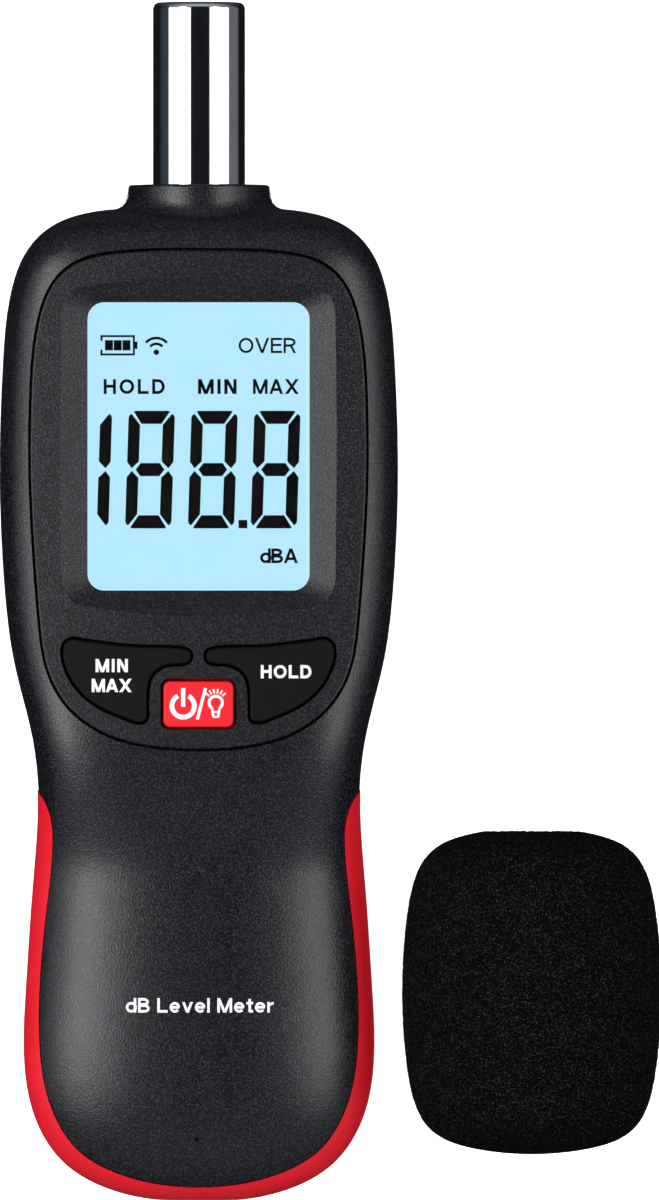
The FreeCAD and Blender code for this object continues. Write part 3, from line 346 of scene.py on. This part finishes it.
def stroke(points, width):
    """The outline of a line of even width along open points."""
    path = [Vector(p) for p in points]
    left, right = [], []
    for i, point in enumerate(path):
        ahead = path[min(i + 1, len(path) - 1)] - path[max(i - 1, 0)]
        side = Vector((-ahead.y, ahead.x)).normalized() * width / 2
        left.append(point + side)
        right.append(point - side)
    return [tuple(p) for p in left + right[::-1]]


def arc(centre, radius, start, end, steps=24):
    """Points between two angles in degrees on an ellipse, or on a circle where radius is one number."""
    across, up = radius if isinstance(radius, tuple) else (radius, radius)
    angles = [math.radians(start + (end - start) * i / steps) for i in range(steps + 1)]
    return [(centre[0] + across * math.cos(a), centre[1] + up * math.sin(a)) for a in angles]


def rounded_outline(x_low, x_high, y_low, y_high, corner):
    """A box with round corners."""
    corners = [
        (x_high - corner, y_high - corner), (x_low + corner, y_high - corner),
        (x_low + corner, y_low + corner), (x_high - corner, y_low + corner),
    ]
    points = []
    for i, centre in enumerate(corners):
        points += arc(centre, corner, 90 * i, 90 * i + 90, 8)
    return points


def in_metres(outlines):
    """Outlines given in millimetres."""
    return [[(x * MM, y * MM) for x, y in outline] for outline in outlines]


def surface_of(node):
    """A CAD node's faces, for casting rays at."""
    mesh = nodes[node].data
    return BVHTree.FromPolygons([v.co for v in mesh.vertices], [p.vertices for p in mesh.polygons])


def drape(piece, node):
    """Lays a flat piece, whose own heights start at 0, just over the top of a CAD node."""
    surface = surface_of(node)
    for vertex in piece.data.vertices:
        above = Vector((vertex.co.x, vertex.co.y, cad_high.z + 1 * MM))
        vertex.co.z += surface.ray_cast(above, Vector((0, 0, -1)))[0].z + PRINT_LIFT
    piece.data.update()


# --- Lettering ----------------------------------------------------------------------------------------
# Each letter is its width and its strokes, in units of the capital height. A leg runs from (x, y) to
# (x, y) with level ends, a bar is level, and a bow is part of an ellipse in a box. A stroke's x is in
# units of the letter's width. A letter with no width of its own is as wide as its one leg.
def leg(width, weight, x_foot, y_foot, x_head, y_head):
    """A straight stroke that keeps inside the letter's width."""
    slope = (x_head - x_foot) * (width - weight) / (y_head - y_foot)
    thick = weight * math.sqrt(1 + slope * slope)
    foot = thick / 2 + x_foot * (width - thick)
    head = thick / 2 + x_head * (width - thick)
    half = thick / 2
    return [[(foot - half, y_foot), (foot + half, y_foot), (head + half, y_head), (head - half, y_head)]]


def bar(width, weight, x_low, x_high, y):
    """A level stroke, moved to fit where it would stick out of the capital height."""
    middle = min(max(y, weight / 2), 1 - weight / 2)
    return [box_outline(x_low * width, x_high * width, middle - weight / 2, middle + weight / 2)]


def bow(width, weight, x, y, start, end, lead=None):
    """Part of an ellipse in the box of the x and y pairs; lead is the x its ends are drawn out to."""
    centre = (width * (x[0] + x[1]) / 2, (y[0] + y[1]) / 2)
    radius = (width * (x[1] - x[0]) / 2 - weight / 2, (y[1] - y[0]) / 2 - weight / 2)
    middle = (start + end) / 2
    halves = [arc(centre, radius, start, middle, 12), arc(centre, radius, middle, end, 12)]
    if lead is not None:
        halves[0].insert(0, (lead * width, halves[0][0][1]))
        halves[1].append((lead * width, halves[1][-1][1]))
    return [stroke(half, weight) for half in halves]


SMALL = 0.73
LETTERS = {
    " ": (0.26, []),
    "A": (0.96, [(leg, 0, 0, 0.5, 1), (leg, 1, 0, 0.5, 1), (bar, 0.2, 0.8, 0.3)]),
    "B": (0.8, [(leg, 0, 0, 0, 1), (bow, (0, 0.92), (0.47, 1), 90, -90, 0.1),
                (bow, (0, 1), (0, 0.57), 90, -90, 0.1)]),
    "D": (0.84, [(leg, 0, 0, 0, 1), (bow, (-0.1, 1), (0, 1), 90, -90, 0.1)]),
    "E": (0.74, [(leg, 0, 0, 0, 1), (bar, 0, 1, 0), (bar, 0, 0.92, 0.53), (bar, 0, 1, 1)]),
    "H": (0.82, [(leg, 0, 0, 0, 1), (leg, 1, 0, 1, 1), (bar, 0.1, 0.9, 0.52)]),
    "I": (None, [(leg, 0, 0, 0, 1)]),
    "L": (0.72, [(leg, 0, 0, 0, 1), (bar, 0, 1, 0)]),
    "M": (1.02, [(leg, 0, 0, 0, 1), (leg, 1, 0, 1, 1), (leg, 0.5, 0, 0, 1), (leg, 0.5, 0, 1, 1)]),
    "N": (0.8, [(leg, 0, 0, 0, 1), (leg, 1, 0, 1, 1), (leg, 1, 0, 0, 1)]),
    "O": (0.98, [(bow, (0, 1), (0, 1), 90, 450)]),
    "R": (0.82, [(leg, 0, 0, 0, 1), (bow, (-0.1, 0.97), (0.42, 1), 90, -90, 0.1),
                 (leg, 1, 0, 0.6, 0.5)]),
    "V": (0.94, [(leg, 0.5, 0, 0, 1), (leg, 0.5, 0, 1, 1)]),
    "X": (0.98, [(leg, 0, 0, 1, 1), (leg, 1, 0, 0, 1)]),
    "d": (0.72, [(leg, 1, 0, 1, 1), (bow, (0, 1.06), (0, SMALL), 90, 450)]),
    "e": (0.72, [(bow, (0, 1), (0, SMALL), -40, -360), (bar, 0.12, 0.94, SMALL / 2)]),
    "l": (None, [(leg, 0, 0, 0, 1)]),
    "r": (0.48, [(leg, 0, 0, 0, SMALL), (bow, (0, 2), (0, SMALL), 95, 178)]),
    "t": (0.46, [(leg, 0.5, 0.04, 0.5, 0.94), (bar, 0, 1, 0.65), (bar, 0.5, 1, 0)]),
    "v": (0.76, [(leg, 0.5, 0, 0, SMALL), (leg, 0.5, 0, 1, SMALL)]),
}


def word_outlines(text, centre, height, width, weight, gap):
    """Outlines of a word, centred on a point; weight and gap are in units of the capital height."""
    outlines, reach = [], 0.0
    for letter in text:
        letter_width, parts = LETTERS[letter]
        letter_width = letter_width or weight
        for make, *values in parts:
            for outline in make(letter_width, weight, *values):
                outlines.append([(x + reach, y) for x, y in outline])
        reach += letter_width + gap
    reach -= gap
    left, bottom = centre[0] - width / 2, centre[1] - height / 2
    stretch = width / reach
    return [[(left + x * stretch, bottom + y * height) for x, y in outline] for outline in outlines]


# --- Display ------------------------------------------------------------------------------------------
# Places and sizes on the display and the keys are millimetres in the frame's X and Y.
LCD_THICKNESS = 0.05 * MM
LCD_CORNER = 0.5 * MM
LCD_GAP = 0.01 * MM
SEGMENT_THICKNESS = 0.01 * MM
DIGITS = "1888"
# The digits' first centre and spacing along X, their centre in Y, half size and slant.
DIGIT_X, DIGIT_PITCH = -15.3, 8.63
DIGIT_Y = 30.72
DIGIT_HALF = (3.18, 8.08)
DIGIT_SLANT = math.tan(math.radians(1.85))
# The thickness of a digit's upright and level bars.
POST, BEAM = 1.62, 1.8
# The decimal point's limits in X and then in Y.
DECIMAL_POINT = (5.5, 6.7, 22.65, 23.8)
# Each word: text, centre, capital height, overall width, weight and gap.
LCD_WORDS = [
    ("OVER", (9.45, 47.78), 2.1, 7.9, 0.15, 0.1),
    ("HOLD", (-8.84, 42.13), 2.04, 8.4, 0.2, 0.24),
    ("MIN", (2.58, 42.13), 2.04, 5.3, 0.21, 0.24),
    ("MAX", (10.63, 42.13), 2.04, 6.3, 0.19, 0.12),
    ("dBA", (11.06, 18.87), 2.02, 5.2, 0.19, 0.04),
]


def flipped(outline, across=1, up=1):
    """An outline mirrored where a factor is -1."""
    return [(across * x, up * y) for x, y in outline]


def digit_outlines(digit, centre_x):
    """The lit bars of a seven-segment 1 or 8."""
    a, b = DIGIT_HALF
    # The upper left bar, the top bar and the middle bar; the others mirror them.
    post = [
        (-a, b - 0.95), (-a + 0.14, b - 0.6), (-a + 0.42, b - 0.42), (-a + POST, b - 1.95),
        (-a + POST, 1.12), (-a + 0.66, 0.18), (-a, 1.06),
    ]
    beam = [
        (-a + 0.72, b - 0.14), (-a + 0.9, b), (a - 0.9, b), (a - 0.72, b - 0.14),
        (a - 1.8, b - BEAM), (-a + 1.8, b - BEAM),
    ]
    middle = [(-a + 1.2, 0), (-a + 1.86, BEAM / 2), (a - 1.86, BEAM / 2), (a - 1.2, 0)]
    middle += [(a - 1.86, -BEAM / 2), (-a + 1.86, -BEAM / 2)]
    bars = [flipped(post, -1), flipped(post, -1, -1)]
    if digit == "8":
        bars += [post, flipped(post, 1, -1), beam, flipped(beam, 1, -1), middle]
    return [[(x + y * DIGIT_SLANT + centre_x, y + DIGIT_Y) for x, y in outline] for outline in bars]


def battery_icon():
    """Three blocks in a case that is open in the middle of its left side."""
    x_low, x_high, y_low, y_high = -13.48, -8.75, 46.4, 49.2
    line, stub, knob = 0.28, 0.8, 0.36
    block_start, block_pitch, block_width, block_inset = x_low + 0.62, 1.2, 1.1, 0.7
    shapes = [
        box_outline(x_low, x_high, y_high - line, y_high),
        box_outline(x_low, x_high, y_low, y_low + line),
        box_outline(x_high - line, x_high, y_low, y_high),
        box_outline(x_low, x_low + line, y_high - stub, y_high),
        box_outline(x_low, x_low + line, y_low, y_low + stub),
        box_outline(x_high, x_high + knob, y_low + 0.9, y_high - 0.9),
    ]
    for i in range(3):
        left = block_start + block_pitch * i
        shapes.append(box_outline(left, left + block_width, y_low + block_inset, y_high - block_inset))
    return shapes


def wireless_icon():
    """A dot with two arcs over it."""
    centre, dot_radius, line = (-5.8, 46.85), 0.38, 0.36
    shapes = [arc(centre, dot_radius, 0, 345, 18)]
    for radius in (1.15, 1.95):
        shapes.append(stroke(arc(centre, radius, 42, 138), line))
    return shapes


def add_display():
    """The lit face between the display's glass and the window, and the segments on it."""
    base = glass_high.z + LCD_GAP
    margin = 0.4 * MM
    across = (window_low.x + margin, window_high.x - margin)
    up = (window_low.y + margin, window_high.y - margin)
    outline = rounded_outline(*across, *up, LCD_CORNER)
    face_top = base + LCD_THICKNESS
    face = prisms("lcd_face", [outline], base, face_top, backlit_display())
    shapes = battery_icon() + wireless_icon() + [box_outline(*DECIMAL_POINT)]
    for i, digit in enumerate(DIGITS):
        shapes += digit_outlines(digit, DIGIT_X + DIGIT_PITCH * i)
    for word in LCD_WORDS:
        shapes += word_outlines(*word)
    low = face_top + LCD_GAP
    segments = prisms("lcd_segments", in_metres(shapes), low, low + SEGMENT_THICKNESS, ink_dark)
    for piece in (face, segments):
        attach(piece, "case")


# --- Legends ------------------------------------------------------------------------------------------
# Each word: piece, text, centre, capital height, overall width, weight, gap, the node under it and
# that node's body.
LEGENDS = [
    ("legend_min", "MIN", (-11.9, 3.8), 1.82, 4.43, 0.215, 0.2, "button_min_max", "min_max_key"),
    ("legend_max", "MAX", (-11.9, 1.07), 1.82, 5.5, 0.215, 0.06, "button_min_max", "min_max_key"),
    ("legend_hold", "HOLD", (12.04, 2.96), 1.82, 6.94, 0.215, 0.16, "button_hold", "hold_key"),
    ("legend_name", "dB Level Meter", (0.2, -42.9), 2.0, 20.4, 0.175, 0.13, "front_shell", "case"),
]
RING_CENTRE, RING_RADIUS, RING_LINE = (-2.09, -1.74), 1.54, 0.64
SLASH, SLASH_LINE = [(-0.14, -3.6), (0.98, 0.72)], 0.42
BULB_CENTRE, BULB_RADIUS, BULB_LINE = (2.39, -1.3), 0.9, 0.4
BULB_BASE_LINE = 0.32
RAY_ANGLES, RAY_REACH, RAY_LINE = range(45, 136, 18), (1.3, 1.92), 0.25


def add_legends():
    """The words on the keys and on the handle."""
    for name, text, centre, height, width, weight, gap, node, body in LEGENDS:
        outlines = word_outlines(text, centre, height, width, weight, gap)
        word = prisms(name, in_metres(outlines), 0, PRINT_THICKNESS, ink_white)
        drape(word, node)
        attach(word, body)


def lamp_outlines():
    """A light bulb drawn as a ring on a tapered base, with rays over it."""
    x, y = BULB_CENTRE
    shapes = [stroke(arc(BULB_CENTRE, BULB_RADIUS, -60, 240), BULB_LINE)]
    for side in (-1, 1):
        shapes.append(stroke([(x + side * 0.5, y - 0.8), (x + side * 0.33, y - 1.95)], BULB_BASE_LINE))
    shapes.append(box_outline(x - 0.42, x + 0.42, y - 2.08, y - 1.78))
    shapes.append(box_outline(x - 0.44, x + 0.44, y - 1.4, y - 1.16))
    for angle in map(math.radians, RAY_ANGLES):
        ray = [(x + reach * math.cos(angle), y + reach * math.sin(angle)) for reach in RAY_REACH]
        shapes.append(stroke(ray, RAY_LINE))
    return shapes


def add_power_symbols():
    """A power ring, a slash and a lamp on the red key."""
    x, y = RING_CENTRE
    shapes = [
        stroke(arc(RING_CENTRE, RING_RADIUS, 118, 422, 40), RING_LINE),
        box_outline(x - 0.29, x + 0.29, y - 0.1, y + 2.45),
        stroke(SLASH, SLASH_LINE),
    ]
    symbols = prisms("power_symbols", in_metres(shapes + lamp_outlines()), 0, PRINT_THICKNESS, ink_white)
    drape(symbols, "button_power")
    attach(symbols, "power_key")


# --- Parting line -------------------------------------------------------------------------------------
# The line stands a hair proud of the case, so that it shows on the surface.
PARTING_Z = 14.0 * MM
SEAM_HALF_HEIGHT = 0.11 * MM
SEAM_PROUD = 0.02 * MM
SEAM_DEPTH = 0.3 * MM
SEAM_STEPS = 720


def case_outline(z):
    """Points round the outside of the case's front half at a height, with the way outward at each."""
    surfaces = [surface_of("front_shell"), surface_of("front_grip_band")]
    outline = []
    for i in range(SEAM_STEPS):
        angle = 2 * math.pi * i / SEAM_STEPS
        outward = Vector((math.cos(angle), math.sin(angle), 0))
        start = outward * 2 * cad_high.y + Vector((0, 0, z))
        hits = [surface.ray_cast(start, -outward)[0] for surface in surfaces]
        nearest = min((hit for hit in hits if hit), key=lambda hit: (hit - start).length)
        outline.append((nearest, outward))
    return outline


def add_seam():
    """A dark band of painted shade where the two halves of the case meet, for the shadow in their gap.
    """
    vertices, faces = [], []
    for point, outward in case_outline(PARTING_Z + SEAM_HALF_HEIGHT):
        for reach in (SEAM_PROUD, -SEAM_DEPTH):
            for z in (-SEAM_HALF_HEIGHT, SEAM_HALF_HEIGHT):
                vertices.append(Vector((point.x, point.y, PARTING_Z + z)) + outward * reach)
    for i in range(SEAM_STEPS):
        here, ahead = 4 * i, 4 * ((i + 1) % SEAM_STEPS)
        for a, b in ((0, 1), (1, 3), (3, 2), (2, 0)):
            faces.append([here + a, ahead + a, ahead + b, here + b])
    seam = add_mesh("parting_seam", vertices, faces, painted_seam_shade, smooth=True)
    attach(seam, "case")


# --- Windscreen ---------------------------------------------------------------------------------------
# The outside is a superellipse of this power, whose sides and ends bulge by this share.
FOAM_POWER = 8
FOAM_DOME = 0.13
FOAM_BORE_RADIUS = 6.25 * MM
FOAM_BORE_LENGTH = 30 * MM
FOAM_BORE_ROUND = 0.4 * MM
# The mesh's spacing, the cells' width, the pits' depth and the cells for each square of a cell's width.
FOAM_STEP = 0.28 * MM
FOAM_CELL = 0.6 * MM
FOAM_PIT = 0.26 * MM
FOAM_CROWDING = 1.6
FOAM_SEED = 7
PROFILE_STEPS = 400


def foam_profile(radius, half_length):
    """(radius, distance along the axis) from the closed end over the outside and down the bore."""
    fine = []
    lip = FOAM_DOME * (FOAM_BORE_RADIUS / radius) ** 2
    for i in range(PROFILE_STEPS + 1):
        angle = -math.pi / 2 + math.pi * i / PROFILE_STEPS
        across, along = abs(math.cos(angle)), math.sin(angle)
        square = (across**FOAM_POWER + abs(along) ** FOAM_POWER) ** (-1 / FOAM_POWER)
        across, along = across * square, along * square
        r = radius * across * (1 - FOAM_DOME * along**2)
        if angle > 0 and r < FOAM_BORE_RADIUS:
            break
        rise = lip if angle > 0 else 0
        fine.append((r, half_length * along * (1 + rise - FOAM_DOME * across**2)))
    mouth, floor = fine[-1][1] - FOAM_BORE_ROUND, half_length - FOAM_BORE_LENGTH
    fine += [(FOAM_BORE_RADIUS, mouth), (FOAM_BORE_RADIUS, floor), (0.0, floor)]
    fine = np.array(fine)
    reach = np.concatenate([[0], np.cumsum(np.linalg.norm(np.diff(fine, axis=0), axis=1))])
    even = np.linspace(0, reach[-1], int(reach[-1] / FOAM_STEP))
    return np.stack([np.interp(even, reach, fine[:, k]) for k in (0, 1)], axis=1)


def spun(pairs, turn):
    """(radius, height) pairs turned about Y, as an array of rings."""
    points = np.empty((len(pairs), len(turn), 3))
    points[..., 0] = pairs[:, :1] * np.cos(turn)
    points[..., 1] = pairs[:, 1:]
    points[..., 2] = pairs[:, :1] * np.sin(turn)
    return points


def pit_depths(points, spacing):
    """0 on the walls between scattered cells, up to 1 inside them; spacing is each point's area."""
    random = np.random.default_rng(FOAM_SEED)
    shares = spacing / spacing.sum()
    count = int(FOAM_CROWDING * spacing.sum() / FOAM_CELL**2)
    seeds = points[random.choice(len(points), count, p=shares)]
    tree = KDTree(count)
    for i, seed in enumerate(seeds + random.normal(0, FOAM_STEP / 2, seeds.shape)):
        tree.insert(seed, i)
    tree.balance()
    depths = np.empty(len(points))
    for i, point in enumerate(points):
        nearest, second = tree.find_n(point, 2)
        depths[i] = min(1.0, (second[2] - nearest[2]) / (0.5 * FOAM_CELL))
    return depths


def add_windscreen():
    """The foam with its bore, pitted all over like open-cell foam."""
    centre = (foam_low + foam_high) / 2
    half = (foam_high - foam_low) / 2
    profile = foam_profile(half.x, half.y)
    rings = profile[1:-1]
    around = int(2 * math.pi * half.x / FOAM_STEP)
    turn = np.linspace(0, 2 * math.pi, around, endpoint=False)
    points = spun(rings, turn).reshape(-1, 3)
    slope = np.gradient(rings, axis=0)
    slope /= np.linalg.norm(slope, axis=1, keepdims=True)
    inward = spun(np.stack([-slope[:, 1], slope[:, 0]], axis=1), turn).reshape(-1, 3)
    spacing = np.repeat(rings[:, 0] * 2 * math.pi / around * FOAM_STEP, around)
    points += inward * (pit_depths(points, spacing) * FOAM_PIT)[:, None]
    ends = [(0, profile[0][1], 0), (0, profile[-1][1], 0)]
    vertices = [Vector(p) + centre for p in [*points, *ends]]
    faces = []
    last = (len(rings) - 1) * around
    for column in range(around):
        ahead = (column + 1) % around
        for row in range(0, last, around):
            faces.append([row + column, row + around + column, row + around + ahead, row + ahead])
        faces.append([len(points), column, ahead])
        faces.append([len(points) + 1, last + ahead, last + column])
    foam = add_mesh("foam_windscreen", vertices, faces, materials["foam_black"], smooth=True)
    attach(foam, "foam_windscreen")
    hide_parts("windscreen")
    # The meter is lit as if it lay alone, so the foam beside it doesn't shade its red band.
    foam.visible_shadow = False


# --- Camera and studio --------------------------------------------------------------------------------
# The camera sees this width and height at the height of the parting line.
VIEW_WIDTH, VIEW_HEIGHT = 90.89 * MM, 165.5 * MM
CAMERA_HEIGHT = 3.0
LIGHT_DISTANCE = 1.0
LIGHT_LENGTH = 1.1
# The shares of a softbox's width and length over which it brightens from either edge.
LIGHT_FADES = (0.5, 0.3)
LIGHT_TINT = (0.95, 0.975, 1.0, 1.0)
# Each softbox: name, the angles it fills from straight up towards +X, and how bright it is at its sides
# and in the middle.
SOFTBOXES = [
    ("left_box", -58, -20, 1.4, 9.0),
    ("left_wing", -81, -58, 1.3, 1.3),
    ("right_box", 26.5, 58, 1.4, 6.2),
    ("right_wing", 58, 80, 1.3, 1.3),
]


def add_camera():
    """Looks straight down, with the picture's edges on the object's left and lower edges."""
    data = bpy.data.cameras.new("camera")
    data.sensor_width = 36
    data.lens = data.sensor_width * (CAMERA_HEIGHT - PARTING_Z) / VIEW_HEIGHT
    data.clip_start, data.clip_end = 0.1, 20
    camera = bpy.data.objects.new("camera", data)
    camera.location = (cad_low.x + VIEW_WIDTH / 2, cad_low.y + VIEW_HEIGHT / 2, CAMERA_HEIGHT)
    bpy.context.scene.collection.objects.link(camera)
    bpy.context.scene.camera = camera


def swell(graph, value, reach, side=0.0, middle=1.0):
    """Turns 0 to 1 into a side value at both ends, rising smoothly over a reach to the middle one."""
    fold = graph.node("Math")
    fold.operation = "PINGPONG"
    fold.inputs[1].default_value = 0.5
    graph.link(value, fold.inputs[0])
    return graph.mapped(fold.outputs[0], True, From_Max=reach, To_Min=side, To_Max=middle)


def add_softbox(name, start, end, side, middle):
    """An area light over the object that fades towards its ends."""
    light = bpy.data.lights.new(name, "AREA")
    light.shape = "RECTANGLE"
    light.size = 2 * LIGHT_DISTANCE * math.tan(math.radians(end - start) / 2)
    light.size_y = LIGHT_LENGTH
    # With this energy, the strength in the light's nodes is its brightness, whatever its size.
    light.energy = math.pi * light.size * light.size_y
    light.use_nodes = True
    graph = Graph(light.node_tree)
    place = graph.split(graph.node("NewGeometry").outputs["Parametric"])
    across = swell(graph, place["X"], LIGHT_FADES[0], side, middle)
    along = swell(graph, place["Y"], LIGHT_FADES[1])
    emission = graph.tree.nodes["Emission"]
    graph.link(graph.math("MULTIPLY", across, along), emission.inputs["Strength"])
    emission.inputs["Color"].default_value = LIGHT_TINT
    lamp = bpy.data.objects.new(name, light)
    angle = math.radians(start + end) / 2
    lamp.location = (LIGHT_DISTANCE * math.sin(angle), 0, LIGHT_DISTANCE * math.cos(angle))
    lamp.rotation_euler = (0, angle, 0)
    lamp.visible_camera = False
    bpy.context.scene.collection.objects.link(lamp)


def add_floor():
    """A white table that glows a little, so that it stays white in the shadows."""
    made = Surface("studio_floor", 0.9, Emission_Strength=0.95, Emission_Color=(1, 1, 1, 1))
    made.colour(made.noise(0.2), srgb(238, 238, 238), srgb(242, 242, 242))
    reach = 6.0
    corners = [(x, y, 0) for x, y in box_outline(-reach, reach, -reach, reach)]
    floor = add_mesh("floor", corners, [[0, 1, 2, 3]], made.material)
    floor.location.z = -0.02 * MM
    floor.visible_glossy = False
    floor.visible_diffuse = False


# What shiny things see is a dark room. From -X to +X it is paler at both sides.
ROOM_DARK = srgb(22, 23, 26)
ROOM_SIDES = [(0.0, srgb(58, 66, 76)), (0.06, ROOM_DARK), (0.93, ROOM_DARK), (0.97, srgb(104, 106, 110))]
# Its ends are pale: they set in between these two values of a direction's Y, either way, and brighten
# from the least share to the whole between these two values of its Z.
ROOM_END = srgb(176, 181, 188)
ROOM_END_ALONG = (0.3, 0.65)
ROOM_END_UP = (-0.3, 0.75)
ROOM_END_LEAST = 0.1
# How strongly the white backdrop lights things, as a share of how bright it looks.
BACKDROP_LIGHT = 0.18


def room_colour(graph):
    """The room's colour for the direction that is looked in."""
    way = graph.split(graph.node("TexCoord").outputs["Generated"])
    sides = graph.ramp(graph.mapped(way["X"], From_Min=-1), ROOM_SIDES)
    low, high = ROOM_END_ALONG
    along = graph.mapped(graph.math("ABSOLUTE", way["Y"]), True, From_Min=low, From_Max=high)
    low, high = ROOM_END_UP
    up = graph.mapped(way["Z"], From_Min=low, From_Max=high, To_Min=ROOM_END_LEAST)
    mix = graph.node("MixRGB", Color2=ROOM_END)
    graph.link(graph.math("MULTIPLY", along, up), mix.inputs["Fac"])
    graph.link(sides, mix.inputs["Color1"])
    return mix.outputs["Color"]


def add_world():
    """A white backdrop, which lights softly and shows in shiny things as the dark room."""
    world = bpy.data.worlds.new("studio")
    world.use_nodes = True
    graph = Graph(world.node_tree)
    rays = graph.node("LightPath").outputs
    backdrop = graph.tree.nodes["Background"]
    backdrop.inputs["Color"].default_value = (1, 1, 1, 1)
    strength = graph.mapped(rays["Is Diffuse Ray"], To_Min=1.0, To_Max=BACKDROP_LIGHT)
    graph.link(strength, backdrop.inputs["Strength"])
    room = graph.node("Background")
    graph.link(room_colour(graph), room.inputs["Color"])
    mix = graph.node("MixShader")
    graph.link(rays["Is Glossy Ray"], mix.inputs["Fac"])
    graph.link(backdrop.outputs["Background"], mix.inputs[1])
    graph.link(room.outputs["Background"], mix.inputs[2])
    graph.link(mix.outputs["Shader"], graph.tree.nodes["World Output"].inputs["Surface"])
    bpy.context.scene.world = world
    bpy.context.scene.view_settings.view_transform = "Standard"


add_camera()
add_floor()
add_world()
for softbox in SOFTBOXES:
    add_softbox(*softbox)
add_display()
add_legends()
add_power_symbols()
add_seam()
add_windscreen()
